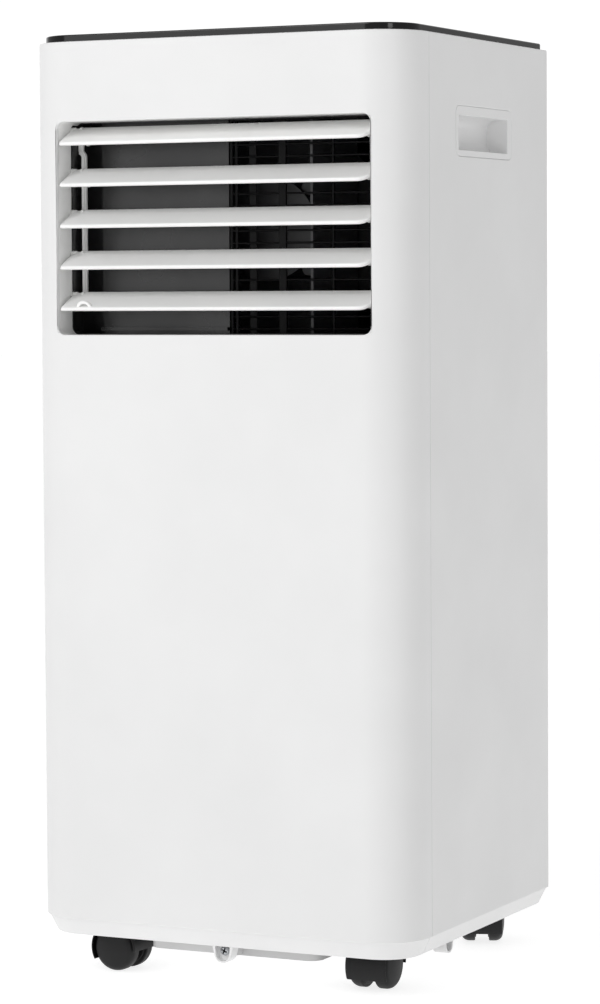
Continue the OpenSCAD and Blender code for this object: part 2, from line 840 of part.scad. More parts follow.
// Hood, web, stem and axle of one castor
module castor(c) {
    hood_half = 16;
    web_half = 3.6;
    color([0.07, 0.07, 0.07]) at_castor(c) {
        difference() {
            union() {
                difference() {
                    bar_x(trail, wheel_r, hood_r, -hood_half, hood_half);
                    // open below the axle, with the front part left lower
                    translate([-30, trail - 2, -10]) cube([60, 40, wheel_r + 10]);
                    translate([-30, -40, -10]) cube([60, 60, 17]);
                }
                translate([0, 0, 24]) cylinder(r = 8, h = hood_top - 24);
                castor_stem();
            }
            for (s = [-1, 1])
                bar_x(trail, wheel_r, wheel_r + 0.7, s > 0 ? web_half : -30, s > 0 ? 30 : -web_half);
            bar_x(trail, wheel_r, axle_r + 0.02, -10, 10);
        }
        difference() {
            bar_x(trail, wheel_r, 10, -web_half, web_half);
            bar_x(trail, wheel_r, axle_r + 0.02, -10, 10);
        }
        bar_x(trail, wheel_r, axle_r, -wheel_out + 1, wheel_out - 1);
    }
}

// Stem that turns in the base
module castor_stem() {
    cylinder(r = stem_r, h = 57);
}

// Half profile of a wheel: radius against width, with a round outer shoulder
function wheel_profile() = concat(
    [[axle_r + 0.06, 0], [wheel_r - 1, 0], [wheel_r, 1], [wheel_r, 5]],
    [for (a = [10:10:80]) [wheel_r - 8 * (1 - cos(a)), 5 + 6.5 * sin(a)]],
    [[8, 11.8], [7.5, 13], [axle_r + 0.06, 13]]);

// Wheel on one side of castor c: s is -1 or 1
module wheel(c, s) {
    color([0.09, 0.09, 0.09]) at_castor(c)
        translate([s * wheel_in, trail, wheel_r]) rotate([0, s * 90, 0])
            rotate_extrude() polygon(wheel_profile());
}

front_casing();
rear_casing();
top_frame();
top_panel();
display_window();
key(0);  // key_power
key(1);  // key_mode
key(2);  // key_speed
key(3);  // key_down
key(4);  // key_up
control_board();
base_pan();
louvre_frame();
air_duct();
outlet_guard();
louvre(0);  // louvre_1
louvre(1);  // louvre_2
louvre(2);  // louvre_3
louvre(3);  // louvre_4
louvre(4);  // louvre_5
link_rod();
drip_deck();
evaporator_coil();
evaporator_tubes();
condenser_coil();
condenser_tubes();
top_scroll();
top_fan_wheel();
top_fan_motor();
low_scroll();
low_fan_wheel();
low_fan_motor();
compressor_shell();
compressor_cap();
compressor_grommets();
accumulator();
refrigerant_pipes();
control_box();
capacitor();
handle(-1);  // handle_left
handle(1);  // handle_right
exhaust_collar();
upper_filter();
lower_filter();
upper_drain_plug();
lower_drain_plug();
cord_gland();
casing_screws();
castor(castors[0]);  // castor_fl
castor(castors[1]);  // castor_fr
castor(castors[2]);  // castor_rl
castor(castors[3]);  // castor_rr
wheel(castors[0], -1);  // wheel_fl_a
wheel(castors[0], 1);  // wheel_fl_b
wheel(castors[1], -1);  // wheel_fr_a
wheel(castors[1], 1);  // wheel_fr_b
wheel(castors[2], -1);  // wheel_rl_a
wheel(castors[2], 1);  // wheel_rl_b
wheel(castors[3], -1);  // wheel_rr_a
wheel(castors[3], 1);  // wheel_rr_b
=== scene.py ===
# %% [markdown]
# # A portable air conditioner, finished in Blender
# The imported model already says where every part of the unit is and how it moves. What is left is
# the look: soft edges on the mouldings, the grain of the plastic, wire, fins, rubber and metal.
# Loading the frame first gives one ruler for everything that follows, because each new piece is
# placed from the box of the part that it stands for. The box of the whole model sets the floor's height.

# %% Load the frame
import json
import math

import bmesh
import bpy
from mathutils import Matrix, Vector


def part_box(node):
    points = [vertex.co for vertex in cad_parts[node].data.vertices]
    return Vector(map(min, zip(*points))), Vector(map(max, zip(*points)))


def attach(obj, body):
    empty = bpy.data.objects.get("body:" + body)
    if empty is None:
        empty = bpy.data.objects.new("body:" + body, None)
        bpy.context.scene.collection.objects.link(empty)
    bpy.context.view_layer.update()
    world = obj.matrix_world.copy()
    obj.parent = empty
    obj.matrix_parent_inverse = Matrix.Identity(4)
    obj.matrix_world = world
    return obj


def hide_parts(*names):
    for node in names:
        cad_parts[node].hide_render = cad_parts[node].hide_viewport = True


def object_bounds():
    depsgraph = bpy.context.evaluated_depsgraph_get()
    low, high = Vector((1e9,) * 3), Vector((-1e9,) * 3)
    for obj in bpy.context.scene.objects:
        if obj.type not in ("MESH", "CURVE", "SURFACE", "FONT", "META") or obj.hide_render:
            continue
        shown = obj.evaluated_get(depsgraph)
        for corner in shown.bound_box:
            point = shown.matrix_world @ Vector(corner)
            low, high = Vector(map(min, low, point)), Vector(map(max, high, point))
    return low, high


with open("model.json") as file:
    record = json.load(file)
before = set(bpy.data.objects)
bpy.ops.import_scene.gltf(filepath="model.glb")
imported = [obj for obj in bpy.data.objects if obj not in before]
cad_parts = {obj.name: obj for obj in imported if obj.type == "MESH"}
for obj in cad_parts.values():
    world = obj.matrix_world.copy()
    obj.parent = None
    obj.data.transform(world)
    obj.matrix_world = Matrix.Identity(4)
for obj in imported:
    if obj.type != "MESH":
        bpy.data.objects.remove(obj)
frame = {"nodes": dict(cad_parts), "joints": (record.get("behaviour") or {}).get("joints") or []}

cad_low, cad_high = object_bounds()
mm = 0.001
print("size in mm:", [round(side / mm, 1) for side in cad_high - cad_low])

# %% [markdown]
# ## The camera
# A tall appliance shows best from a little right of its front, with a long lens, so that its
# upright edges stay upright. The camera stands still at chest height, a bit lower than the top
# panel, so that the panel shows as a thin black line. Building the camera's three directions by hand
# makes it easy to add the small roll of a tripod that isn't quite level.

# %% Place the camera
heading = math.radians(25.66)
look_down = math.radians(3.05)
roll = math.radians(-0.335)
distance = 2.616
aim = Vector((0.0046, 0.0022, 0.3717))

backwards = Vector((
    math.sin(heading) * math.cos(look_down),
    -math.cos(heading) * math.cos(look_down),
    math.sin(look_down),
))
sideways = Vector((math.cos(heading), math.sin(heading), 0))
upwards = backwards.cross(sideways)
right = sideways * math.cos(roll) + upwards * math.sin(roll)
up = upwards * math.cos(roll) - sideways * math.sin(roll)

lens = bpy.data.cameras.new("camera")
lens.sensor_width = 36
lens.lens = 123
lens.shift_x = -0.002
lens.shift_y = -0.0297
lens.clip_end = 60
camera = bpy.data.objects.new("camera", lens)
turn = Matrix((right, up, backwards)).transposed().to_4x4()
camera.matrix_world = Matrix.Translation(aim + backwards * distance) @ turn
bpy.context.scene.collection.objects.link(camera)
bpy.context.scene.camera = camera
print(f"camera {camera.location.z:.2f} m above the floor, {distance} m from the middle of the unit")

# %% [markdown]
# ## Nodes and colours
# Every finish below is a small graph of shader nodes. One function adds a node with its settings and
# its links, which keeps each graph readable as a list. Designers give colours as sRGB hex values, and
# Blender computes in linear light, so one function turns the one into the other.

# %% Two helpers for materials
def colour(code):
    """An sRGB hex value as linear red, green, blue and alpha."""
    shares = [int(code[i:i + 2], 16) / 255 for i in (1, 3, 5)]
    return [s / 12.92 if s <= 0.04045 else ((s + 0.055) / 1.055) ** 2.4 for s in shares] + [1]


def add(tree, kind, sockets=None, **settings):
    """One node: its settings, and for each socket a value or the output that feeds it."""
    node = tree.nodes.new(kind)
    for name, value in settings.items():
        setattr(node, name, value)
    for key, value in (sockets or {}).items():
        if isinstance(value, bpy.types.NodeSocket):
            tree.links.new(value, node.inputs[key])
        else:
            node.inputs[key].default_value = value
    return node


print("white plastic in linear light:", [round(c, 3) for c in colour("#E9E9E8")])

# %% [markdown]
# ## Studio light
# White goods are lit with a white backdrop behind them, dimmer walls at the sides, so that the side
# wall reads a little darker than the front, and big soft lamps in front. A low lamp stands where the
# panel's front edge mirrors it, a high one reaches the tops of the blades, and a small one draws a
# line on the round corner. The standard view keeps the whites white.

# %% Light the studio
scene = bpy.context.scene
scene.view_settings.view_transform = "Standard"
world = bpy.data.worlds.new("studio_walls")
scene.world = world
world.use_nodes = True
walls = world.node_tree
walls.nodes.clear()
wall_level, backdrop_level = 0.4, 1.06
direction = add(walls, "ShaderNodeTexCoord").outputs["Generated"]
facing_backdrop = add(walls, "ShaderNodeVectorMath", {0: direction, 1: tuple(-backwards)},
                      operation="DOT_PRODUCT")
level = add(walls, "ShaderNodeMapRange", {
    "Value": facing_backdrop.outputs["Value"], "From Min": 0.6, "From Max": 0.93,
    "To Min": wall_level, "To Max": backdrop_level}, interpolation_type="SMOOTHSTEP")
light = add(walls, "ShaderNodeBackground", {"Color": colour("#FFFFFF"), "Strength": level.outputs[0]})
add(walls, "ShaderNodeOutputWorld", {"Surface": light.outputs[0]})


def softbox(name, place, size, power):
    """A square lamp that faces the middle of the unit."""
    lamp = bpy.data.lights.new(name, "AREA")
    lamp.size = size
    lamp.energy = power
    holder = bpy.data.objects.new(name, lamp)
    holder.location = place
    holder.rotation_euler = (Vector(place) - aim).to_track_quat("Z", "Y").to_euler()
    scene.collection.objects.link(holder)


softbox("low_softbox", (-1.35, -2.75, 0.95), 1.4, 8)
softbox("high_softbox", (-0.9, -2.3, 2.4), 1.3, 28)
softbox("corner_softbox", (2.4, -1.9, 1.2), 0.6, 4)
print("walls", wall_level, "and backdrop", backdrop_level, "with three softboxes")

# %% [markdown]
# ## The floor
# Catalogue shots of white goods stand on a light table: a sheet of opal acrylic, lit from below so
# that it stays as white as the backdrop and hardly shows a shadow. A flat disc far wider than the
# view stands in for it, and its own glow for the lamps under it.

# %% Lay the floor
def begin(name):
    """A new empty material, with the coordinates of the unmoved piece in metres."""
    material = bpy.data.materials.new(name)
    material.use_nodes = True
    tree = material.node_tree
    tree.nodes.clear()
    return material, tree, add(tree, "ShaderNodeTexCoord").outputs["Object"]


def close(tree, sockets):
    """Ends a material in one Principled shader."""
    shader = add(tree, "ShaderNodeBsdfPrincipled", sockets)
    add(tree, "ShaderNodeOutputMaterial", {"Surface": shader.outputs[0]})
    return shader


def ramp(tree, factor, first, last, low=0.35, high=0.65):
    """Two colours, from the first where the factor is low to the last where it is high."""
    node = add(tree, "ShaderNodeValToRGB", {"Fac": factor})
    for stop, place, code in zip(node.color_ramp.elements, (low, high), (first, last)):
        stop.position = place
        stop.color = colour(code)
    return node.outputs["Color"]


acrylic, tree, where = begin("opal_acrylic_light_table")
cloud = add(tree, "ShaderNodeTexNoise", {"Vector": where, "Scale": 1.5, "Detail": 2})
grain = add(tree, "ShaderNodeTexNoise", {"Vector": where, "Scale": 400, "Detail": 2})
bump = add(tree, "ShaderNodeBump", {"Height": grain.outputs[0], "Distance": 0.0001, "Strength": 0.2})
close(tree, {
    "Base Color": ramp(tree, cloud.outputs[0], "#ACACAC", "#A8A8A8"),
    "Roughness": 0.8, "Normal": bump.outputs[0], "Specular IOR Level": 0.1,
    "Emission Color": colour("#FFFFFF"), "Emission Strength": 0.8,
})
floor_radius = 25
disc = bmesh.new()
bmesh.ops.create_circle(disc, cap_ends=True, segments=96, radius=floor_radius)
sheet = bpy.data.meshes.new("floor")
disc.to_mesh(sheet)
disc.free()
floor = bpy.data.objects.new("floor", sheet)
floor.location.z = cad_low.z
sheet.materials.append(acrylic)
scene.collection.objects.link(floor)
print("floor", 2 * floor_radius, "m across")

# %% [markdown]
# ## Moulded plastics
# Nearly everything that shows is injection moulded. The tool's wall is spark eroded, which leaves a
# fine even grain and takes the mirror off the highlight, and the melt cools unevenly, so tone and
# gloss drift slowly over a big wall. That is the same story for every plastic, so one function tells
# it, and each material then only states its own colour, grain, gloss and refractive index.

# %% A recipe for moulded plastic
def moulded(name, tone, deeper, grain, depth, gloss, index, **more):
    """Plastic from a spark-eroded tool. Grain and depth are lengths; gloss is the roughness range."""
    material, tree, where = begin(name)
    flow_length = 90 * mm
    flow = add(tree, "ShaderNodeTexNoise", {"Vector": where, "Scale": 1 / flow_length, "Detail": 3})
    pits = add(tree, "ShaderNodeTexNoise", {"Vector": where, "Scale": 1 / grain, "Detail": 2})
    sheen = add(tree, "ShaderNodeMapRange", {
        "Value": flow.outputs[0], "From Min": 0.3, "From Max": 0.7, "To Min": gloss[0], "To Max": gloss[1]})
    pitted = add(tree, "ShaderNodeMath", {0: pits.outputs[0], 1: 0.06, 2: sheen.outputs[0]},
                 operation="MULTIPLY_ADD")
    bump = add(tree, "ShaderNodeBump", {"Height": pits.outputs[0], "Distance": depth, "Strength": 0.6})
    close(tree, {
        "Base Color": ramp(tree, flow.outputs[0], tone, deeper),
        "Roughness": pitted.outputs[0], "IOR": index, "Normal": bump.outputs[0], **more})
    return material


print("recipe ready")

# %% [markdown]
# ### White ABS and its louvre
# The casing is ABS, matt from a spark-eroded tool with a grain of about a quarter of a millimetre.
# That grain is finer than a render can show, so it is drawn at one millimetre, with a very small
# depth: it gives the eye a soft, slightly broken highlight. The blades come from a smoother tool, so
# they are glossier than the walls, and their base colour is painted lighter than most white ABS, to
# brighten the shade that they lie in. The recess frame and the link rod take the same lighter white.

# %% White plastics
casing_white = moulded("white_abs_spark_eroded", "#EBEBEB", "#E8E8E8", 1.0 * mm, 0.02 * mm,
                       (0.38, 0.46), 1.53)
# Painted light: the blades' white is lighter than the casing's, to brighten the shade of the recess.
louvre_white = moulded("white_abs_satin_painted_lighter", "#FAFAF9", "#F5F5F4", 1.2 * mm, 0.01 * mm, (0.26, 0.33), 1.53)
print("made", casing_white.name, "and", louvre_white.name)

# %% [markdown]
# ### Piano black and smoked acrylic
# The top panel is ABS from a mirror-polished tool. What tells it from dull plastic is a hard clear
# reflection, only broken by hairline wiping marks, so the noise drives roughness within a narrow
# band and the bump stays almost flat. Its Specular IOR Level is below the usual 0.5, which keeps the
# black deep, and a thin coat adds the clear reflection back. The display window is smoked acrylic:
# darker and glossier still.

# %% Polished plastics
panel_black = moulded("piano_black_abs_polished", "#0B0B0C", "#101011", 2.5 * mm, 0.002 * mm,
                      (0.05, 0.13), 1.53,
                      **{"Specular IOR Level": 0.3, "Coat Weight": 0.15, "Coat Roughness": 0.04})
window_smoked = moulded("smoked_acrylic_polished", "#15171B", "#191B20", 3 * mm, 0.001 * mm,
                        (0.02, 0.06), 1.49,
                        **{"Coat Weight": 0.6, "Coat Roughness": 0.02})
key_black = moulded("black_abs_satin", "#1B1B1D", "#202022", 0.9 * mm, 0.012 * mm, (0.32, 0.42), 1.53)
print("made", panel_black.name, window_smoked.name, key_black.name)

# %% [markdown]
# ### Black and grey inner plastics
# Behind the louvre everything is polypropylene: a duct in charcoal with the slight waviness of a big
# flat moulding, a dark grey scroll and a nearly black wire guard. The castors are glass-filled
# nylon, whose fibres show as a coarser, duller grain. Guard and castors have a Specular IOR Level
# below the usual 0.5, so that they stay dark under soft light. Parts that nobody sees are plain grey
# ABS.

# %% Black and grey plastics
duct_black = moulded("charcoal_polypropylene", "#141415", "#202021", 14 * mm, 0.25 * mm, (0.20, 0.32), 1.49)
scroll_grey = moulded("dark_grey_polypropylene", "#3E3E40", "#464648", 3 * mm, 0.05 * mm, (0.3, 0.42), 1.49)
guard_black = moulded("black_polypropylene", "#040405", "#080809", 1.0 * mm, 0.02 * mm, (0.34, 0.46), 1.49,
                      **{"Specular IOR Level": 0.15})
castor_black = moulded("black_glass_filled_nylon", "#0D0D0E", "#141415", 0.8 * mm, 0.03 * mm,
                       (0.42, 0.56), 1.53,
                       **{"Specular IOR Level": 0.3})
inner_grey = moulded("grey_abs_moulded", "#C9CACB", "#BFC0C1", 1.0 * mm, 0.02 * mm, (0.42, 0.52), 1.53)
pan_grey = moulded("pale_grey_polypropylene", "#D2D2D2", "#C8C8C8", 1.2 * mm, 0.03 * mm, (0.38, 0.5), 1.49)
print("made", duct_black.name, guard_black.name, castor_black.name, inner_grey.name, pan_grey.name)

# %% [markdown]
# ### Rubber, enamel and circuit board
# Moulded EPDM rubber is dark grey, dull and a little dusty. The compressor is dipped in thick black
# enamel, which levels into a gloss with slow ripples. A circuit board is glass cloth under green
# solder mask, and the cloth's weave of about half a millimetre shows through: a brick pattern drawn
# at that size gives it.

# %% Rubber, enamel and board
rubber_black = moulded("epdm_rubber_moulded", "#1A1A1A", "#262625", 0.7 * mm, 0.04 * mm, (0.62, 0.78), 1.52)
black_enamel = moulded("black_enamel_dipped", "#0C0C0D", "#121213", 8 * mm, 0.08 * mm, (0.14, 0.24), 1.5,
                       **{"Coat Weight": 0.4, "Coat Roughness": 0.1})

board_green, tree, where = begin("green_solder_mask_on_glass_cloth")
cloth = 0.5 * mm
weave = add(tree, "ShaderNodeTexBrick", {
    "Vector": where, "Scale": 1 / cloth, "Color1": colour("#1B5E36"), "Color2": colour("#237043"),
    "Mortar": colour("#134A29"), "Mortar Size": 0.06})
bump = add(tree, "ShaderNodeBump", {"Height": weave.outputs["Fac"], "Distance": 0.03 * mm, "Strength": 0.5})
close(tree, {"Base Color": weave.outputs["Color"], "Roughness": 0.3, "IOR": 1.55, "Normal": bump.outputs[0]})
print("made", rubber_black.name, black_enamel.name, board_green.name)

# %% [markdown]
# ### Metals
# One recipe serves every metal here: marks of a stated size, stretched where the stock was drawn or
# rolled, under a slow haze. Copper tube is drawn, which leaves fine lines along it, and it
# tarnishes in clouds. Fins are rolled aluminium. The screws and the lower motor are zinc plated.
# All of them are metallic 1 with the default index, and differ in colour and gloss.

# %% Metals
def rolled(name, tone, deeper, size, stretch, gloss):
    """Bare metal: marks of a given size, stretched along Y for drawn or rolled stock."""
    material, tree, where = begin(name)
    laid = add(tree, "ShaderNodeMapping", {"Vector": where, "Scale": (1, stretch, 1)})
    marks = add(tree, "ShaderNodeTexNoise", {"Vector": laid.outputs[0], "Scale": 1 / size})
    haze = add(tree, "ShaderNodeTexNoise", {"Vector": where, "Scale": 1 / (25 * mm), "Detail": 3})
    tint = add(tree, "ShaderNodeMath", {0: marks.outputs[0], 1: haze.outputs[0]}, operation="MULTIPLY")
    rough = add(tree, "ShaderNodeMapRange", {
        "Value": marks.outputs[0], "To Min": gloss[0], "To Max": gloss[1]})
    bump = add(tree, "ShaderNodeBump", {"Height": marks.outputs[0], "Distance": 0.02 * mm, "Strength": 0.4})
    close(tree, {
        "Base Color": ramp(tree, tint.outputs[0], tone, deeper, 0.1, 0.5), "Metallic": 1.0,
        "Roughness": rough.outputs[0], "Normal": bump.outputs[0]})
    return material


fin_metal = rolled("aluminium_rolled", "#DDDFE1", "#C4C7CA", 3 * mm, 0.1, (0.28, 0.42))
copper = rolled("copper_drawn", "#DB8E64", "#A65F3C", 2 * mm, 0.1, (0.22, 0.4))
motor_steel = rolled("steel_zinc_plated", "#C8CACD", "#A9ADB0", 4 * mm, 1, (0.3, 0.45))
print("made", fin_metal.name, copper.name, motor_steel.name)

# %% [markdown]
# ### Filter net
# The net is a warp of black polypropylene threads. Real threads are half a millimetre apart, too
# fine for a render, so they are drawn two millimetres apart. Two wave patterns at right angles
# are combined by their minimum: it is high only in the open squares, whose darkness is painted shade.

# %% The net of the filters
filter_net, tree, where = begin("black_polypropylene_net")
spacing = 2 * mm
threads = []
for axis in ("X", "Z"):
    wave = add(tree, "ShaderNodeTexWave", {"Vector": where, "Scale": math.pi / (10 * spacing)},
               bands_direction=axis)
    threads.append(wave.outputs["Fac"])
# The open squares are painted darker than the threads: painted shade from inside the unit.
open_squares_painted_shade = add(tree, "ShaderNodeMath", {0: threads[0], 1: threads[1]}, operation="MINIMUM")
bump = add(tree, "ShaderNodeBump", {
    "Height": open_squares_painted_shade.outputs[0], "Distance": -0.4 * mm, "Strength": 1.0})
close(tree, {
    "Base Color": ramp(tree, open_squares_painted_shade.outputs[0], "#4A4B4D", "#0C0C0D", 0.25, 0.5),
    "Roughness": 0.5, "IOR": 1.49, "Normal": bump.outputs[0]})

ink_white = moulded("white_screen_ink", "#D9DADB", "#D2D3D4", 0.5 * mm, 0.01 * mm, (0.5, 0.6), 1.5)
print("net threads", spacing / mm, "mm apart")

# %% [markdown]
# ## Tools for making meshes
# Almost every moulding here is a flat outline pushed along an axis, a section carried along the
# outline of the casing, or a profile turned round an axis. All three are rings of points joined by
# quads, so one function joins rings, and the others only lay the rings out.

# %% Rings, slabs and turned shapes
def put(name, mesh):
    piece = bpy.data.objects.new(name, mesh)
    scene.collection.objects.link(piece)
    return piece


def skin(name, rings, round_trip=False):
    """Joins rings of points one after another, and closes the ends or leads back to the first."""
    size, count = len(rings[0]), len(rings)
    faces = []
    for i in range(count if round_trip else count - 1):
        a, b = i * size, (i + 1) % count * size
        faces += [(a + j, a + (j + 1) % size, b + (j + 1) % size, b + j) for j in range(size)]
    if not round_trip:
        faces += [tuple(range(size)), tuple(range((count - 1) * size, count * size))]
    mesh = bpy.data.meshes.new(name)
    mesh.from_pydata([tuple(p) for ring in rings for p in ring], [], faces)
    shape = bmesh.new()
    shape.from_mesh(mesh)
    bmesh.ops.remove_doubles(shape, verts=shape.verts, dist=1e-6)
    bmesh.ops.recalc_face_normals(shape, faces=shape.faces)
    shape.to_mesh(mesh)
    shape.free()
    return put(name, mesh)


def round_rect(width, height, radius, centre=(0, 0), steps=8):
    """Outline of a rectangle with round corners."""
    outline = []
    for i, (sx, sy) in enumerate(((1, 1), (-1, 1), (-1, -1), (1, -1))):
        for j in range(steps + 1):
            angle = math.radians(90 * (i + j / steps))
            outline.append((centre[0] + sx * (width / 2 - radius) + radius * math.cos(angle),
                            centre[1] + sy * (height / 2 - radius) + radius * math.sin(angle)))
    return outline


def circle(radius, centre=(0, 0), steps=48):
    turns = [math.tau * i / steps for i in range(steps)]
    return [(centre[0] + radius * math.cos(a), centre[1] + radius * math.sin(a)) for a in turns]


def slab(name, outline, axis, start, end):
    """Pushes a flat outline along an axis: (y, z) along x, (x, z) along y, or (x, y) along z."""
    lay = {"x": lambda u, v, w: (w, u, v),
           "y": lambda u, v, w: (u, w, v),
           "z": lambda u, v, w: (u, v, w)}[axis]
    return skin(name, [[lay(u, v, w) for u, v in outline] for w in (start, end)])


def turned(name, profile, place=None, steps=64):
    """Turns a closed profile of (radius, height) round the Z axis, then moves it into place."""
    rings = []
    for i in range(steps):
        angle = math.tau * i / steps
        rings.append([(r * math.cos(angle), r * math.sin(angle), h) for r, h in profile])
    piece = skin(name, rings, round_trip=True)
    if place:
        piece.data.transform(place)
    return piece


def facing(point, direction):
    """A placing that turns the Z axis towards a direction, with its foot on a point."""
    return Matrix.Translation(point) @ Vector(direction).to_track_quat("Z", "Y").to_matrix().to_4x4()


print("outline of a rounded square:", len(round_rect(10, 10, 2)), "points")

# %% [markdown]
# ## Cutting and rounding
# Openings are cut with booleans, as a mill would. No moulding has a knife edge, so each piece then
# says how round its edges are, in millimetres, stored edge by edge as a bevel weight. A single
# bevel modifier, one millimetre wide at full weight, reads those weights at the very end, so parts
# with different radii can be merged into one piece first. A weighted normal modifier after it lets
# the big faces decide the shading, which keeps flat walls flat right up to a rounded edge.

# %% Cut, merge, round and hand over
def settle(piece):
    """Makes what the modifiers give the piece's own mesh."""
    graph = bpy.context.evaluated_depsgraph_get()
    mesh = bpy.data.meshes.new_from_object(piece.evaluated_get(graph))
    piece.modifiers.clear()
    piece.data = mesh
    return piece


def carve(piece, *tools, how="DIFFERENCE"):
    """Takes tools away from a piece, or adds them to it, and throws the tools away."""
    for tool in tools:
        change = piece.modifiers.new("carve", "BOOLEAN")
        change.operation = how
        change.solver = "EXACT"
        change.object = tool
    settle(piece)
    for tool in tools:
        bpy.data.objects.remove(tool)
    return piece


def rounded(piece, radius, finer=None):
    """Gives every edge sharper than 30 degrees a radius; finer(middle) may scale it by place."""
    shape = bmesh.new()
    shape.from_mesh(piece.data)
    bmesh.ops.dissolve_limit(shape, angle_limit=math.radians(0.4), verts=shape.verts, edges=shape.edges)
    weight = shape.edges.layers.float.new("bevel_weight_edge")
    for edge in shape.edges:
        if len(edge.link_faces) == 2 and edge.calc_face_angle() > math.radians(30):
            middle = (edge.verts[0].co + edge.verts[1].co) / 2
            edge[weight] = radius / mm * (finer(middle) if finer else 1)
    shape.to_mesh(piece.data)
    shape.free()
    return piece


def split_faces(piece, *heights):
    """Splits the faces at some heights, so that shading near an opening can't run along a tall wall."""
    shape = bmesh.new()
    shape.from_mesh(piece.data)
    for height in heights:
        bmesh.ops.bisect_plane(shape, geom=[*shape.verts, *shape.edges, *shape.faces],
                               plane_co=(0, 0, height), plane_no=(0, 0, 1))
    shape.to_mesh(piece.data)
    shape.free()


def merge(name, *pieces):
    """Several shapes as one mesh."""
    shape = bmesh.new()
    for piece in pieces:
        shape.from_mesh(piece.data)
    mesh = bpy.data.meshes.new(name)
    shape.to_mesh(mesh)
    shape.free()
    for piece in pieces:
        bpy.data.objects.remove(piece)
    return put(name, mesh)


def hand_over(piece, body, slot, finish, *nodes):
    """Rounds the marked edges, shades the rest smooth, and ties the piece to the frame."""
    for face in piece.data.polygons:
        face.use_smooth = True
    bevel = piece.modifiers.new("edge_radius", "BEVEL")
    bevel.width = 1 * mm
    bevel.segments = 3
    bevel.limit_method = "WEIGHT"
    bevel.use_clamp_overlap = False
    shading = piece.modifiers.new("flat_faces_stay_flat", "WEIGHTED_NORMAL")
    shading.mode = "FACE_AREA"
    shading.keep_sharp = True
    piece.data.materials.clear()
    piece.data.materials.append(finish)
    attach(piece, body)
    if nodes:
        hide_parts(*nodes)
    return piece


print("tools ready")

# %% [markdown]
# ## The casing
# The casing is a box with wide round corners, split by a fine seam a little behind the front corners.
# Seen from above its wall follows one outline, and seen from the side its section never changes: a
# tapered skirt, a two millimetre step, a tall straight wall, and a flange under the top panel. So
# the section is carried along the outline. Each station on the outline knows the direction that
# faces out there, and a section point moves inwards along it, which keeps corners truly round.

# %% Measure the casing
case_low, case_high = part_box("front_casing")
rear_low, rear_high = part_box("rear_casing")
half_width = rear_high.x
front, back, rim = case_low.y, rear_high.y, case_high.z
front_radius, rear_radius = 36 * mm, 14 * mm
wall = 2.5 * mm
skirt_low, step_high = 30 * mm, 43 * mm
flange = 12 * mm


def quarter(centre, radius, start, steps=48):
    """Stations on a quarter turn: a point, and the direction that faces out there."""
    stations = []
    for i in range(steps + 1):
        angle = math.radians(start + 90 * i / steps)
        outward = Vector((math.cos(angle), math.sin(angle)))
        stations.append((Vector(centre) + outward * radius, outward))
    return stations


front_left = quarter((-half_width + front_radius, front + front_radius), front_radius, 180)
front_right = quarter((half_width - front_radius, front + front_radius), front_radius, 270)
rear_right = quarter((half_width - rear_radius, back - rear_radius), rear_radius, 0)
rear_left = quarter((-half_width + rear_radius, back - rear_radius), rear_radius, 90)
print("casing in mm:", round(2 * half_width / mm, 1), "wide,", round((back - front) / mm, 1), "deep")

# %% The section, and the two shells
section = [
    (8 * mm, skirt_low), (2 * mm, step_high - 1 * mm), (2 * mm, step_high), (0, step_high),
    (0, rim), (flange, rim), (flange, rim - wall), (wall, rim - wall), (wall, step_high + wall),
    (2 * mm + wall, step_high + wall), (2 * mm + wall, step_high - 1 * mm), (8 * mm + wall, skirt_low)]


def shell(name, stations):
    """The section of the wall, carried along part of the outline."""
    return skin(name, [[(*(point - outward * inset), z) for inset, z in section]
                       for point, outward in stations])


def straight(x, y):
    return Vector((x, y)), Vector((math.copysign(1, x), 0))


front_shell = shell("front_casing_shell", [
    straight(-half_width, case_high.y), *front_left, *front_right, straight(half_width, case_high.y)])
rear_shell = shell("rear_casing_shell", [
    straight(half_width, rear_low.y), *rear_right, *rear_left, straight(-half_width, rear_low.y)])
print("seam gap in mm:", round((rear_low.y - case_high.y) / mm, 2))

# %% [markdown]
# ### Openings in the shells
# The outlet in front is a rounded rectangle whose lip turns in by a few millimetres. The back has two
# filter openings, the exhaust, two drains and the hole for the mains lead, and each side has a
# shallow seat and a hole for a grip. The seam keeps a much finer radius than the other edges,
# because the two shells have to look like one.

# %% Cut the front shell
frame_low, frame_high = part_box("louvre_frame")
outlet_width = frame_high.x - frame_low.x - 6 * mm
outlet_height = frame_high.z - frame_low.z - 6 * mm
outlet_centre = (0, (frame_low.z + frame_high.z) / 2)
corner = 6 * mm
seam = (case_high.y + rear_low.y) / 2

lip_outline = round_rect(outlet_width + 3 * mm, outlet_height + 3 * mm, corner + 1.5 * mm, outlet_centre)
lip = slab("lip", lip_outline, "y", front + 2.1 * mm, front + 4.6 * mm)
outlet = slab("outlet", round_rect(outlet_width, outlet_height, corner, outlet_centre), "y",
              front - 10 * mm, front + 30 * mm)
carve(front_shell, lip, how="UNION")
carve(front_shell, outlet)


def casing_finer(middle):
    return 0.3 if abs(middle.y - seam) < 1 * mm else 1


rounded(front_shell, 0.8 * mm, casing_finer)
split_faces(front_shell, *(outlet_centre[1] + side * (outlet_height / 2 + beyond)
                           for side in (-1, 1) for beyond in (-corner, -2 * mm, 1.2 * mm)))
hand_over(front_shell, "cabinet", "casing_white", casing_white, "front_casing")
print("outlet in mm:", round(outlet_width / mm, 1), "x", round(outlet_height / mm, 1))

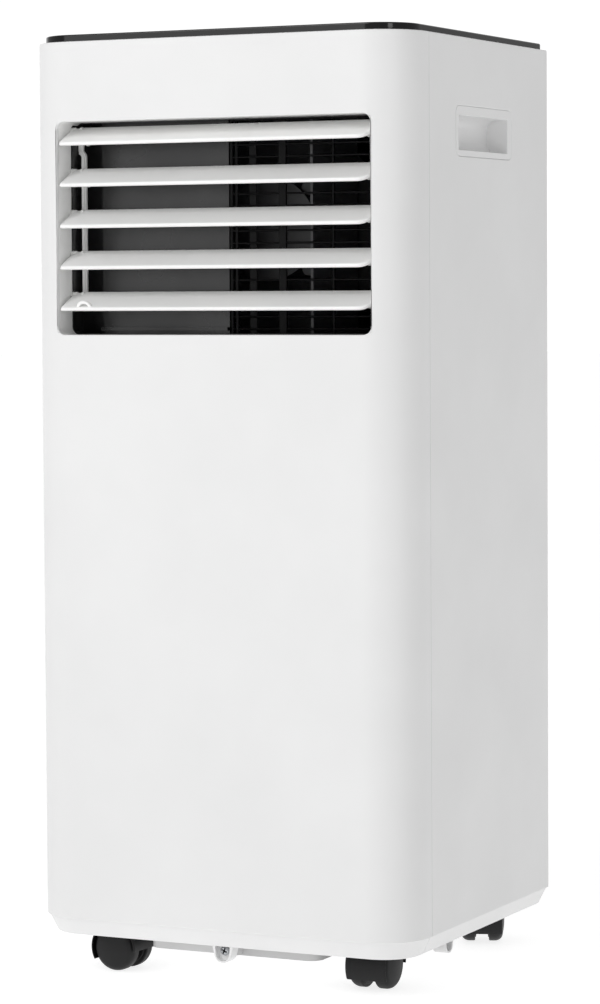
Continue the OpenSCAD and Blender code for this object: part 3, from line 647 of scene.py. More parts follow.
# %% Cut the rear shell
grip_low, grip_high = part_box("handle_right")
grip_centre = ((grip_low.y + grip_high.y) / 2, (grip_low.z + grip_high.z) / 2)
grip_size = (grip_high.y - grip_low.y, grip_high.z - grip_low.z)
tools = []
for side in (-1, 1):
    near, far = sorted((side * (half_width - 1 * mm), side * (half_width + 5 * mm)))
    seat = round_rect(grip_size[0] + 0.6 * mm, grip_size[1] + 0.6 * mm, 6.3 * mm, grip_centre)
    tools.append(slab("seat", seat, "x", near, far))
    near, far = sorted((side * (half_width - 5 * mm), side * (half_width + 5 * mm)))
    tools.append(slab("hole", round_rect(grip_size[0] - 6 * mm, grip_size[1] - 4 * mm, 4 * mm, grip_centre),
                      "x", near, far))


def through_back(outline, deep=6 * mm):
    tools.append(slab("hole", outline, "y", back - deep, back + 5 * mm))


def middle_of(node):
    low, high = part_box(node)
    return (low + high) / 2


for node in ("upper_filter", "lower_filter"):
    low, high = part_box(node)
    centre = middle_of(node)
    through_back(round_rect(high.x - low.x + 0.8 * mm, high.z - low.z + 0.8 * mm, 5 * mm,
                            (centre.x, centre.z)))
for node, radius in (("exhaust_collar", 62), ("upper_drain_plug", 8), ("lower_drain_plug", 8),
                     ("cord_gland", 8)):
    centre = middle_of(node)
    through_back(circle(radius * mm, (centre.x, centre.z), 96 if radius > 20 else 32), 12 * mm)
for node in ("castor_rl", "castor_rr"):
    joint = next(j for j in frame["joints"] if j["child"] == node)
    x, y, _ = joint["pos_m"]
    tools.append(slab("well", circle(34 * mm, (x, y), 64), "z", skirt_low - 2 * mm, skirt_low + 10 * mm))
carve(rear_shell, *tools)
rounded(rear_shell, 0.8 * mm, casing_finer)
hand_over(rear_shell, "cabinet", "casing_white", casing_white, "rear_casing")
print(len(tools), "openings cut in the rear shell")

# %% [markdown]
# ## Lugs and screws
# The shells are screwed to the base through three small lugs that hang below the skirt. A lug is a
# U of thin wall round a web with a hole, and its screw has a pan head with a cross recess. The recess
# is shallow here, so a small black piece at its bottom is painted shade, standing in for the darkness
# of a deep one. Each lug is built round the origin and then moved to the front or to one side.

# %% Make the lugs and screws
screws_low, screws_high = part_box("casing_screws")
head_radius = 3.6 * mm
front_lug_height = screws_low.z + head_radius
side_lug_height = screws_high.z - head_radius
side_lug_y = screws_high.y - head_radius
front_lug_x = 1.9 * mm
lug_spots = {
    "front_lug": ((front_lug_x, screws_low.y - 0.6 * mm, front_lug_height), 0),
    "right_lug": ((screws_high.x + 0.6 * mm, side_lug_y, side_lug_height), 90),
    "left_lug": ((screws_low.x - 0.6 * mm, side_lug_y, side_lug_height), -90),
}


def u_outline(inset, height):
    """A round bottom and sides that spread upwards, all moved in by an inset."""
    radius, drop, spread = 7 * mm - inset, 1.6 * mm, 2.2 * mm
    turns = [math.radians(188 + 164 * i / 20) for i in range(21)]
    arc = [(radius * math.cos(a), radius * math.sin(a) - drop) for a in turns]
    return [*arc, (radius + spread, height), (-radius - spread, height)]


screw_copies, recess_shade_copies = [], []
for name, (spot, degrees) in lug_spots.items():
    place = Matrix.Translation(spot) @ Matrix.Rotation(math.radians(degrees), 4, "Z")
    lug = slab(name, u_outline(0, 8 * mm), "y", -2 * mm, 9 * mm)
    carve(lug, slab("front_room", u_outline(1.5 * mm, 20 * mm), "y", -5 * mm, 3 * mm),
          slab("rear_room", u_outline(1.5 * mm, 20 * mm), "y", 5 * mm, 12 * mm),
          slab("hole", circle(2.1 * mm, steps=24), "y", 0, 8 * mm))
    rounded(lug, 0.4 * mm)
    lug.data.transform(place)
    hand_over(lug, "cabinet", "casing_white", casing_white)

    head = turned("screw", [(0, 0.6 * mm), (2.2 * mm, 0.75 * mm), (3.3 * mm, 1.5 * mm), (3.6 * mm, 2.4 * mm),
                            (3.6 * mm, 3 * mm), (2 * mm, 3 * mm), (2 * mm, 11.2 * mm),
                            (1.2 * mm, 12 * mm), (0, 12 * mm)],
                  facing((0, 0, 0), (0, 1, 0)), 32)
    for turn in (0, math.pi / 2):
        slot = slab("slot", round_rect(4.8 * mm, 1.2 * mm, 0.4 * mm, steps=3), "y", 0, 2.7 * mm)
        slot.data.transform(Matrix.Rotation(turn + 0.4, 4, "Y"))
        carve(head, slot)
        # Painted shade: a black piece at the bottom of the slot, for the darkness of a deep recess.
        painted_slot_shade = slab("slot_painted_shade", round_rect(4.4 * mm, 1.1 * mm, 0.3 * mm, steps=3), "y",
                             1.9 * mm, 2.6 * mm)
        painted_slot_shade.data.transform(place @ Matrix.Rotation(turn + 0.4, 4, "Y"))
        recess_shade_copies.append(painted_slot_shade)
    head.data.transform(place)
    screw_copies.append(head)
screws = merge("casing_screw_set", *screw_copies)
hand_over(rounded(screws, 0.12 * mm), "cabinet", "motor_steel", motor_steel, "casing_screws")
# The black slot floors are painted shade, not a part of the screw.
hand_over(merge("screw_recess_painted_shade", *recess_shade_copies), "cabinet", "duct_black", guard_black)
print(len(screw_copies), "lugs and screws,", round(front_lug_height / mm, 1), "mm above the floor in front")

# %% [markdown]
# ## Side grips
# A grip is a separate moulding that snaps into the side wall: a thin flush plate round a pocket for
# four fingers. The pocket is a scoop. Its roof and floor turn into its back with a wide radius,
# while its two ends stay flat, so it is cut by an outline with two big arcs, pushed along Y.

# %% Make the grips
pocket_width, pocket_height = 93.4 * mm, 25.4 * mm
pocket_centre = (grip_centre[0] - 1.7 * mm, grip_centre[1] - 1.2 * mm)
pocket_depth = 17 * mm
scoop = 8 * mm


def scoop_outline():
    """The pocket seen from its end, as (distance in from the wall, height)."""
    low, high = pocket_centre[1] - pocket_height / 2, pocket_centre[1] + pocket_height / 2
    deep = pocket_depth - scoop
    turns = [math.pi / 24 * i for i in range(13)]
    floor_arc = [(deep + scoop * math.sin(a), low + scoop - scoop * math.cos(a)) for a in turns]
    roof_arc = [(deep + scoop * math.cos(a), high - scoop + scoop * math.sin(a)) for a in turns]
    return [(-2 * mm, low), *floor_arc, *roof_arc, (-2 * mm, high)]


for side, name in ((-1, "left"), (1, "right")):
    def inwards(start, end):
        return sorted((side * (half_width - start), side * (half_width - end)))

    plate_outline = round_rect(grip_size[0] + 0.3 * mm, grip_size[1] + 0.3 * mm, 6 * mm, grip_centre)
    plate = slab(f"grip_{name}", plate_outline, "x", *inwards(0, 0.95 * mm))
    pocket = slab("pocket", round_rect(pocket_width + 4 * mm, pocket_height + 4 * mm, 4 * mm,
                                       (grip_centre[0], pocket_centre[1])),
                  "x", *inwards(0.5 * mm, pocket_depth + 2 * mm))
    carve(plate, pocket, how="UNION")
    room = slab("room", [(side * (half_width - inset), z) for inset, z in scoop_outline()], "y",
                pocket_centre[0] - pocket_width / 2, pocket_centre[0] + pocket_width / 2)
    carve(plate, room)
    hand_over(rounded(plate, 0.2 * mm), "cabinet", "casing_white", casing_white, f"handle_{name}")
print("pocket in mm:", pocket_width / mm, "x", pocket_height / mm, "x", pocket_depth / mm)

# %% [markdown]
# ## The louvre
# A white frame lines the recess and holds five blades on pins. A blade is a thin, slightly crowned
# section with a round nose. It is carried along X, and near its right end the nose runs back in an
# arc, which cuts the front corner away. Drawing the section in the blade's own slope and turning it
# afterwards keeps the numbers simple: the chord runs from the nose to the rear edge.

# %% The recess frame
blade_nodes = [f"louvre_{i}" for i in range(1, 6)]
pivots = [Vector(next(j for j in frame["joints"] if j["child"] == node)["pos_m"]) for node in blade_nodes]
frame_wall = 2.7 * mm
recess_width = frame_high.x - frame_low.x - 2 * frame_wall
recess_height = outlet_height + 0.6 * mm
outside = round_rect(recess_width + 2 * frame_wall, outlet_height + 6 * mm, 8 * mm, outlet_centre)
recess = slab("louvre_recess", outside, "y", frame_low.y, frame_high.y)
bores = [slab("bore", circle(2.56 * mm, (pivot.y, pivot.z), 32), "x",
              frame_low.x - 1 * mm, frame_high.x + 1 * mm) for pivot in pivots]
carve(recess, slab("room", round_rect(recess_width, recess_height, corner, outlet_centre), "y",
                   frame_low.y - 1 * mm, frame_high.y + 1 * mm), *bores)
# The frame takes the blades' lighter white: painted light against the shade inside the recess.
hand_over(rounded(recess, 0.3 * mm), "cabinet", "louvre_white", louvre_white, "louvre_frame")
print("recess in mm:", round(recess_width / mm, 1), "x", round(recess_height / mm, 1))

# %% The section and the plan of a blade
chord_nose, chord_rear = -25 * mm, 4 * mm
blade_half = 125.8 * mm
slope = math.radians(26)
cut_along, cut_across = 10 * mm, 16 * mm


def blade_section(nose):
    """Outline of (along the chord, across it), from a nose that may lie further back."""
    length = chord_rear - nose
    top, bottom = [], []
    for i in range(1, 24):
        share = i / 24
        from_nose = math.sqrt(share * length / (1.5 * mm))
        from_rear = math.sqrt((1 - share) * length / (1.2 * mm))
        half = (1.6 - 0.35 * share) * mm * min(1, from_nose, from_rear)
        crown = 0.5 * mm * math.sin(math.pi * share)
        top.append((nose + share * length, crown + half))
        bottom.append((nose + share * length, crown * 0.4 - half))
    return [(nose, 0), *bottom, (chord_rear, 0), *reversed(top)]


def blade_stations():
    """Where sections stand along X, with the nose of each."""
    stations = [(-blade_half, chord_nose), (blade_half - cut_along, chord_nose)]
    for i in range(1, 13):
        angle = math.pi / 2 * i / 12
        stations.append((blade_half - cut_along + cut_along * math.sin(angle),
                         chord_nose + cut_across * (1 - math.cos(angle))))
    return stations


print("chord in mm:", (chord_rear - chord_nose) / mm)

# %% [markdown]
# ### What a blade carries
# Each blade has a pin at both ends, a small gusset at its right end, and at its left a crank arm
# whose pin takes the link rod. The rod needs a notch in the rear edge. The lowest blade also has an
# arched tab for a fingertip: half of a flat ring, standing upright near the nose and facing forward.

# %% Make the blades
rod_low, rod_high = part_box("link_rod")
rod_width = 3.8 * mm
rod_x = rod_high.x - rod_width / 2
crank = Vector((0, 9 * mm, -8 * mm))
top_eye_x = rod_x - 2.4 * mm


def bar(name, path, radius, sides=3):
    """Round bar along a run of points, with flat ends."""
    curve = bpy.data.curves.new(name, "CURVE")
    curve.dimensions = "3D"
    curve.bevel_depth = radius
    curve.bevel_resolution = sides
    curve.use_fill_caps = True
    spline = curve.splines.new("POLY")
    spline.points.add(len(path) - 1)
    for point, place in zip(spline.points, path):
        point.co = (*place, 1)
    holder = put(name, curve)
    mesh = bpy.data.meshes.new_from_object(holder.evaluated_get(bpy.context.evaluated_depsgraph_get()))
    bpy.data.objects.remove(holder)
    return put(name, mesh)


def crank_arm():
    """A link between two eyes, seen along X."""
    length = crank.length
    outline = []
    for i in range(13):
        angle = math.pi / 2 + math.pi * i / 12
        outline.append((2.6 * mm * math.cos(angle), 2.6 * mm * math.sin(angle)))
    for i in range(13):
        angle = -math.pi / 2 + math.pi * i / 12
        outline.append((length + 3 * mm * math.cos(angle), 3 * mm * math.sin(angle)))
    lean = math.atan2(crank.z, crank.y)
    return [(u * math.cos(lean) - v * math.sin(lean), u * math.sin(lean) + v * math.cos(lean))
            for u, v in outline]


for index, (node, pivot) in enumerate(zip(blade_nodes, pivots)):
    blade = skin("blade", [[(x, u, v) for u, v in blade_section(nose)] for x, nose in blade_stations()])
    notch = [(1.5 * mm, -9 * mm), (9 * mm, -9 * mm), (9 * mm, 9 * mm), (1.5 * mm, 9 * mm)]
    carve(blade, slab("notch", notch, "x", rod_x - 9 * mm, rod_x + 2.5 * mm))
    parts = [rounded(blade, 0.25 * mm)]
    gusset = [(-20 * mm, 0), (-6 * mm, 0), (-8 * mm, -6 * mm), (-10.5 * mm, -6.5 * mm)]
    parts.append(rounded(slab("gusset", gusset, "x", blade_half - 7.8 * mm, blade_half - 6.4 * mm), 0.2 * mm))
    if index == 4:
        tab_x, reach, bar_width = -106.8 * mm, 6.4 * mm, 2.3 * mm
        turns = [math.pi * i / 20 for i in range(21)]
        outer = [(tab_x - reach * math.cos(a), reach * math.sin(a)) for a in turns]
        inside = reach - bar_width
        inner = [(tab_x + inside * math.cos(a), inside * math.sin(a)) for a in turns]
        arch = slab("tab", [*outer, *inner], "y", chord_nose + 1.9 * mm, chord_nose + 4.2 * mm)
        parts.append(rounded(arch, 0.5 * mm))
    for part in parts:
        part.data.transform(Matrix.Rotation(slope, 4, "X"))
    pin_end, pin_root = recess_width / 2 + 2.4 * mm, blade_half - 2 * mm
    for start, end in ((-pin_end, -pin_root), (pin_root, pin_end)):
        parts.append(rounded(slab("pin", circle(2.5 * mm, steps=32), "x", start, end), 0.3 * mm))
    parts.append(rounded(slab("arm", crank_arm(), "x", rod_x + 2.4 * mm, rod_x + 4.4 * mm), 0.3 * mm))
    pin_start = top_eye_x - 1.9 * mm if index == 0 else rod_x - 2.2 * mm
    crank_pin = slab("crank_pin", circle(1.5 * mm, (crank.y, crank.z), 24), "x", pin_start, rod_x + 2.5 * mm)
    parts.append(rounded(crank_pin, 0.2 * mm))
    whole = merge(f"blade_{index + 1}", *parts)
    whole.data.transform(Matrix.Translation((0, pivot.y, pivot.z)))
    hand_over(whole, node, "louvre_white", louvre_white, node)
print(len(blade_nodes), "blades,", round((pivots[0].z - pivots[1].z) / mm, 1), "mm apart")

# %% [markdown]
# ### The link rod
# The rod that joins the cranks is a flat strip with a shallow groove down its face, which stiffens
# it. Its section is carried up a path that ends in a quarter turn to the left, where its top eye
# sits close to the frame. Each eye is a small disc with a hole for a crank's pin.

# %% Make the link rod
rod_y = pivots[0].y + crank.y
rod_half, rod_thick = rod_width / 2, 1.3 * mm
bend_height = pivots[0].z + crank.z - 11.5 * mm
bend_radius = 2.4 * mm + rod_half
strip = [(-rod_half, rod_thick), (-rod_half, -rod_thick), (-0.9 * mm, -rod_thick), (-0.7 * mm, -0.7 * mm),
         (0.7 * mm, -0.7 * mm), (0.9 * mm, -rod_thick), (rod_half, -rod_thick), (rod_half, rod_thick)]
path = [(Vector((rod_x, rod_y, pivots[4].z + crank.z)), 0)]
for i in range(13):
    angle = math.pi / 2 * i / 12
    across, along = bend_radius * (1 - math.cos(angle)), bend_radius * math.sin(angle)
    path.append((Vector((rod_x - across, rod_y, bend_height + along)), angle))
rings = [[(p.x + u * math.cos(a), p.y + v, p.z + u * math.sin(a)) for u, v in strip] for p, a in path]
rod_parts = [rounded(skin("strip", rings), 0.3 * mm)]
for index, pivot in enumerate(pivots):
    eye_x = top_eye_x if index == 0 else rod_x
    centre = (rod_y, pivot.z + crank.z)
    eye = slab("eye", circle(3 * mm, centre, 32), "x", eye_x - rod_half, eye_x + rod_half)
    carve(eye, slab("hole", circle(1.6 * mm, centre, 24), "x", eye_x - rod_width, eye_x + rod_width))
    rod_parts.append(rounded(eye, 0.3 * mm))
stem_low, stem_high = bend_height + bend_radius, pivots[0].z + crank.z - 2.5 * mm
stem_outline = [(top_eye_x - rod_half, stem_low), (top_eye_x + rod_half, stem_low),
                (top_eye_x + rod_half, stem_high), (top_eye_x - rod_half, stem_high)]
rod_parts.append(rounded(slab("stem", stem_outline, "y", rod_y - rod_thick, rod_y + rod_thick), 0.3 * mm))
hand_over(merge("louvre_link_rod", *rod_parts), "link_rod", "louvre_white", louvre_white, "link_rod")
print("rod", round((rod_high.z - rod_low.z) / mm), "mm long")

# %% [markdown]
# ## Behind the louvre
# The duct is a black moulding, open to the fan on the right and closed by a flat wall on the left.
# Its shape in the frame is right, so it stays, and only gets softer edges and its real plastic. The
# guard over the fan's outlet is made again, with round wires and rounded bars.

# %% Duct and guard
def refine(node, finish, radius=0.4 * mm):
    """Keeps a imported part, merges its flat facets, rounds its edges and gives it its material."""
    part = frame["nodes"][node]
    flat = part.modifiers.new("merge_flat_faces", "DECIMATE")
    flat.decimate_type = "DISSOLVE"
    flat.angle_limit = math.radians(0.5)
    if radius:
        edge = part.modifiers.new("edge_radius", "BEVEL")
        edge.width = radius
        edge.segments = 2
        edge.angle_limit = math.radians(50)
        edge.harden_normals = True
    for i in range(max(1, len(part.material_slots))):
        if i < len(part.material_slots):
            part.material_slots[i].material = finish
        else:
            part.data.materials.append(finish)
    return part


refine("air_duct", duct_black)
guard_low, guard_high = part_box("outlet_guard")
guard_y = guard_low.y + 1 * mm
wire_pitch = 9 * mm
wires = []
height = guard_low.z + 2 * mm
while height < guard_high.z:
    ends = [(guard_low.x + 0.5 * mm, guard_y, height), (guard_high.x, guard_y, height)]
    wires.append(bar("wire", ends, 0.8 * mm, 2))
    height += wire_pitch
bars = []
for x, width in ((-4.5, 2.4), (-0.4, 2.4), (37, 6.4), (78, 1.8), (126, 2.4)):
    outline = round_rect(width * mm, 2.4 * mm, 0.8 * mm, (x * mm, guard_y + 0.2 * mm), 4)
    bars.append(rounded(slab("bar", outline, "z", guard_low.z, guard_high.z), 0.2 * mm))
strip_outline = round_rect(6 * mm, 1.2 * mm, 0.5 * mm, (12 * mm, guard_y + 1.9 * mm), 4)
bars.append(rounded(slab("strip", strip_outline, "z", guard_low.z, guard_high.z), 0.2 * mm))
hand_over(merge("outlet_guard_wires", *wires, *bars), "cabinet", "duct_black", guard_black, "outlet_guard")
print(len(wires), "wires and", len(bars), "bars")

# %% [markdown]
# ## The top
# The control panel is a five millimetre plate of polished black that lies inside the rim and follows
# its outline, with a rounded upper edge. Keys come up through round holes, and a smoked window lies
# flush. The plate is the outline at five heights, each a little further in, which draws the radius.

# %% The top panel
panel_low, panel_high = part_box("top_panel")
panel_inset = half_width - panel_high.x
around = [*front_left, *front_right, *rear_right, *rear_left]
edge_radius = 1.2 * mm


def plate_ring(inset, z):
    return [(*(point - outward * inset), z) for point, outward in around]


rings = [plate_ring(panel_inset, panel_low.z)]
for i in range(5):
    angle = math.pi / 2 * i / 4
    rings.append(plate_ring(panel_inset + edge_radius * (1 - math.cos(angle)),
                            panel_high.z - edge_radius * (1 - math.sin(angle))))
panel = skin("control_panel", rings)
window_low, window_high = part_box("display_window")
window_centre = middle_of("display_window")
key_nodes = ["key_power", "key_mode", "key_speed", "key_down", "key_up"]
window_width, window_depth = window_high.x - window_low.x, window_high.y - window_low.y
tools = [slab("key_hole", circle(6.7 * mm, middle_of(node)[:2]), "z",
              panel_low.z - 1 * mm, panel_high.z + 1 * mm) for node in key_nodes]
tools += [slab("flange_room", circle(8.5 * mm, middle_of(node)[:2]), "z",
               panel_low.z - 1 * mm, panel_low.z + 2.6 * mm) for node in key_nodes]
window_seat = round_rect(window_width + 0.4 * mm, window_depth + 0.4 * mm, 3 * mm, window_centre[:2])
tools.append(slab("window_seat", window_seat, "z", panel_high.z - 1 * mm, panel_high.z + 1 * mm))
carve(panel, *tools)
hand_over(rounded(panel, 0.25 * mm), "cabinet", "panel_black", panel_black, "top_panel")

window = slab("display_pane", round_rect(window_width, window_depth, 2.8 * mm, window_centre[:2]), "z",
              window_low.z, window_high.z)
hand_over(rounded(window, 0.2 * mm), "cabinet", "window_smoked", window_smoked, "display_window")
panel_thickness = panel_high.z - panel_low.z
print("panel", round(panel_thickness / mm, 1), "mm thick, inset", round(panel_inset / mm, 1), "mm")

# %% [markdown]
# ### Keys and their marks
# A key is a round cap with a shallow dish for the fingertip, on a wider flange that keeps it in the
# panel. Each has a plain printed mark: a power sign, a snowflake, a fan, and arrows down and up. A
# mark is a skin of ink a few hundredths of a millimetre thick in the dish, and rides on its key.

# %% Make the keys
def ring_part(outer, inner, start, end, steps=32):
    """Part of a flat ring, between two angles in degrees."""
    angles = [math.radians(start + (end - start) * i / steps) for i in range(steps + 1)]
    return [(outer * math.cos(a), outer * math.sin(a)) for a in angles] + \
           [(inner * math.cos(a), inner * math.sin(a)) for a in reversed(angles)]


def turned_outline(outline, degrees):
    a = math.radians(degrees)
    return [(u * math.cos(a) - v * math.sin(a), u * math.sin(a) + v * math.cos(a)) for u, v in outline]


thin = 0.55 * mm
blade_mark = [(0.5 * mm + 2.4 * mm * t, 1.1 * mm * math.sin(math.pi * t))
              for t in (i / 10 for i in range(11))]
blade_mark += [(0.5 * mm + 2.4 * mm * t, -0.25 * mm * math.sin(math.pi * t))
               for t in (i / 10 for i in range(9, 0, -1))]
marks = {
    "key_power": [ring_part(2.8 * mm, 2.25 * mm, 125, 415),
                  round_rect(thin, 2.6 * mm, 0.2 * mm, (0, 2 * mm), 3)],
    "key_mode": [turned_outline(round_rect(5.6 * mm, thin, 0.2 * mm, steps=3), angle)
                 for angle in (30, 90, 150)],
    "key_speed": [turned_outline(blade_mark, angle) for angle in (0, 120, 240)],
    "key_down": [[(-2.2 * mm, 1.2 * mm), (0, -1.8 * mm), (2.2 * mm, 1.2 * mm)]],
    "key_up": [[(-2.2 * mm, -1.2 * mm), (2.2 * mm, -1.2 * mm), (0, 1.8 * mm)]],
}
dish = 0.35 * mm
for node, outlines in marks.items():
    low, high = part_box(node)
    x, y, _ = (low + high) / 2
    top, cap = high.z, 6.5 * mm
    bowl = [(cap * s, top - dish * (1 - (s / 0.86) ** 2)) for s in (0.86 * i / 6 for i in range(7))]
    profile = [*bowl, (cap * 0.95, top), (cap, top - 0.35 * mm), (cap, panel_low.z + 2.4 * mm),
               (7.9 * mm, panel_low.z + 2.4 * mm), (7.9 * mm, panel_low.z + 0.9 * mm),
               (2.5 * mm, panel_low.z + 0.9 * mm),
               (2.5 * mm, low.z), (0, low.z)]
    key = turned(f"{node}_cap", profile, Matrix.Translation((x, y, 0)))
    hand_over(rounded(key, 0.2 * mm), node, "key_black", key_black, node)
    ink_low, ink_high = top - dish - 0.05 * mm, top - dish + 0.12 * mm
    inks = [slab("ink", [(x + u, y + v) for u, v in outline], "z", ink_low, ink_high) for outline in outlines]
    mark = merge(f"{node}_mark", *inks)
    hand_over(mark, node, "casing_white", ink_white)
print(len(marks), "keys with printed marks")

# %% [markdown]
# ## The back
# Two filter covers, the exhaust collar, two drain plugs and the gland of the mains lead. A cover is
# a frame with three columns of slots, and its slots are one joined cutting tool, because a single
# boolean with many separate slots is much faster than one for each. The net is stretched behind.

# %% Make the filters
def filter_cover(node, name):
    low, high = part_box(node)
    middle = (low + high) / 2
    width, tall = high.x - low.x, high.z - low.z
    cover_low, cover_high = high.y - 4.5 * mm, high.y
    cover = slab(name, round_rect(width, tall, 4.6 * mm, (middle.x, middle.z)), "y", cover_low, cover_high)
    slot_pitch, slot_width, slot_high = 10 * mm, 72 * mm, 5 * mm
    rows = int((tall - 24 * mm) / slot_pitch)
    slots = []
    for row in range(rows):
        z = low.z + 14 * mm + row * slot_pitch + slot_high / 2
        for column in (-1, 0, 1):
            centre = (middle.x + column * 78 * mm, z)
            slots.append(slab("slot", round_rect(slot_width, slot_high, 2.4 * mm, centre, 5), "y",
                              cover_low - 5 * mm, cover_high + 5 * mm))
    finger = slab("finger", circle(9 * mm, (middle.x, high.z)), "y", cover_high - 2 * mm, cover_high + 5 * mm)
    carve(cover, merge("slots", *slots), finger)
    parts = [rounded(cover, 0.6 * mm)]
    rim_part = slab("carrier", round_rect(width - 4 * mm, tall - 4 * mm, 3 * mm, (middle.x, middle.z)), "y",
                    low.y, cover_low + 0.1 * mm)
    room = round_rect(width - 12 * mm, tall - 12 * mm, 3 * mm, (middle.x, middle.z))
    carve(rim_part, slab("room", room, "y", low.y - 1 * mm, cover_low + 1 * mm))
    parts.append(rounded(rim_part, 0.4 * mm))
    for x in (-60 * mm, 0, 60 * mm):
        outline = round_rect(2 * mm, 3 * mm, 0.5 * mm, (middle.x + x, low.y + 2.5 * mm), 3)
        parts.append(slab("rib", outline, "z", low.z + 5 * mm, high.z - 5 * mm))
    whole = merge(name, *parts)
    hand_over(whole, node, "casing_white", casing_white, node)
    net_outline = round_rect(width - 12.4 * mm, tall - 12.4 * mm, 3 * mm, (middle.x, middle.z))
    net = slab(f"{name}_net", net_outline, "y", low.y + 0.2 * mm, low.y + 0.6 * mm)
    hand_over(net, node, "duct_black", filter_net)
    return rows * 3


slots_cut = [filter_cover("upper_filter", "upper_filter_cover"),
             filter_cover("lower_filter", "lower_filter_cover")]
print("slots:", slots_cut)

# %% [markdown]
# ### Collar, plugs and gland
# These are turned shapes on axes along Y. The collar has a rolled lip and three small bayonet lugs
# inside, which lock a hose on. A drain plug is rubber with a dished head and a bar to pull it by.

# %% Make the collar, the plugs and the gland
centre = middle_of("exhaust_collar")
low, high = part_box("exhaust_collar")
collar_foot = facing((centre.x, low.y, centre.z), (0, 1, 0))
flange_depth = 8.4 * mm
collar_bore, collar_rim, neck, collar_depth = 58 * mm, 67 * mm, 61.6 * mm, high.y - low.y
collar_profile = [(collar_bore, 0), (collar_rim, 0), (collar_rim, flange_depth), (neck, flange_depth),
                  (neck, collar_depth), (collar_bore, collar_depth)]
collar = turned("hose_collar", collar_profile, collar_foot, 128)
collar_parts = [rounded(collar, 0.5 * mm)]
for turn in (90, 210, 330):
    outline = ring_part(58.4 * mm, 55.5 * mm, turn - 7, turn + 7, 8)
    bayonet = slab("bayonet", outline, "z", 2 * mm, 5 * mm)
    bayonet.data.transform(collar_foot)
    collar_parts.append(rounded(bayonet, 0.4 * mm))
hand_over(merge("hose_collar", *collar_parts), "cabinet", "casing_white", casing_white, "exhaust_collar")

for node in ("upper_drain_plug", "lower_drain_plug"):
    low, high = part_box(node)
    centre = middle_of(node)
    depth = high.y - low.y
    stem = 3.9 * mm if node == "upper_drain_plug" else 5.9 * mm
    foot = facing((centre.x, low.y, centre.z), (0, 1, 0))
    profile = [(0, 0), (stem - 0.6 * mm, 0), (stem, 0.8 * mm), (stem, 6 * mm), (7.9 * mm, 6 * mm),
               (7.9 * mm, depth),
               (5.4 * mm, depth), (4.9 * mm, depth - 2.8 * mm), (0, depth - 2.8 * mm)]
    head = rounded(turned("plug", profile, foot, 48), 0.4 * mm)
    grip = slab("pull_bar", round_rect(9.4 * mm, 2 * mm, 0.8 * mm, (centre.x, centre.z), 4), "y",
                high.y - 3.2 * mm, high.y - 0.4 * mm)
    moulding = merge(f"{node}_moulding", head, rounded(grip, 0.3 * mm))
    hand_over(moulding, node, "rubber_black", rubber_black, node)

low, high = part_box("cord_gland")
centre = middle_of("cord_gland")
foot = facing((centre.x, low.y, centre.z), (0, 1, 0))
profile = [(3.6 * mm, 0), (10.5 * mm, 0), (10.5 * mm, 5.4 * mm), (7.8 * mm, 5.4 * mm),
           (7.8 * mm, high.y - low.y - 0.6 * mm),
           (7.2 * mm, high.y - low.y), (3.6 * mm, high.y - low.y)]
gland = rounded(turned("lead_gland", profile, foot, 48), 0.3 * mm)
hand_over(gland, "cabinet", "rubber_black", rubber_black, "cord_gland")
print("collar bore", 2 * 58, "mm")

# %% [markdown]
# ## Castors
# A twin-wheel castor has a hood that arches over two wheels, a web between them and a stem in the
# base. Everything but the stem is built round the axle: the hood's thin section is carried round the
# axle through part of a turn, which gives the arch, and the wheels are turned profiles with domed
# outer faces. A castor's own directions come from its joints: the swivel gives the place, and the
# axle of its wheel gives the turn.

# %% Make the castors
joint_of = {j["child"]: j for j in frame["joints"]}
wheel_radius = 17.5 * mm
hood_radius, hood_half, web_half = 19.6 * mm, 16 * mm, 3.6 * mm
wheel_in, wheel_wide = 4.6 * mm, 13 * mm


def round_axle(radius, degrees):
    """A point in the castor's middle plane, from its axle; 0 degrees looks backwards, 90 up."""
    a = math.radians(degrees)
    return radius * math.cos(a), radius * math.sin(a)


def hood_shape():
    """The hood round an axle along X through the origin."""
    inner, shoulder = hood_radius - 1.4 * mm, hood_radius - 0.7 * mm
    arch = [(-hood_half, inner), (-hood_half, shoulder), (-hood_half + 0.9 * mm, hood_radius),
            (hood_half - 0.9 * mm, hood_radius), (hood_half, shoulder), (hood_half, inner)]
    rings = []
    for i in range(49):
        y, z = round_axle(1, -4 + 214 * i / 48)
        rings.append([(x, r * y, r * z) for x, r in arch])
    cover = rounded(skin("arch", rings), 0.3 * mm)
    web_edge = [round_axle(shoulder, -4 + 214 * i / 48) for i in range(49)]
    web_edge += [round_axle(9 * mm, 215 + 135 * i / 16) for i in range(17)]
    web = rounded(slab("web", web_edge, "x", -web_half, web_half), 0.4 * mm)
    return [cover, web]


def castor_place(name):
    """Frame of one castor: its axle's middle, with X along the axle."""
    roll = joint_of[f"wheel_{name}_a"]
    along = Vector(roll["axis"]).normalized()
    ahead = Vector((0, 0, 1)).cross(along)
    turn = Matrix((along, ahead, Vector((0, 0, 1)))).transposed().to_4x4()
    return Matrix.Translation(roll["pos_m"]) @ turn


wheel_profile = [(0, 0), (14.6 * mm, 0), (14.9 * mm, 0.8 * mm), (16.9 * mm, 0.8 * mm),
                 (wheel_radius, 1.4 * mm),
                 (wheel_radius, 5 * mm)]
for i in range(1, 10):
    a = math.pi / 2 * i / 10
    crown = wheel_radius - 5.6 * mm * (1 - math.cos(a)) ** 1.1
    wheel_profile.append((crown, 5 * mm + 6.6 * mm * math.sin(a)))
wheel_profile += [(9 * mm, 12.2 * mm), (5 * mm, 12.7 * mm), (0, wheel_wide - 0.1 * mm)]

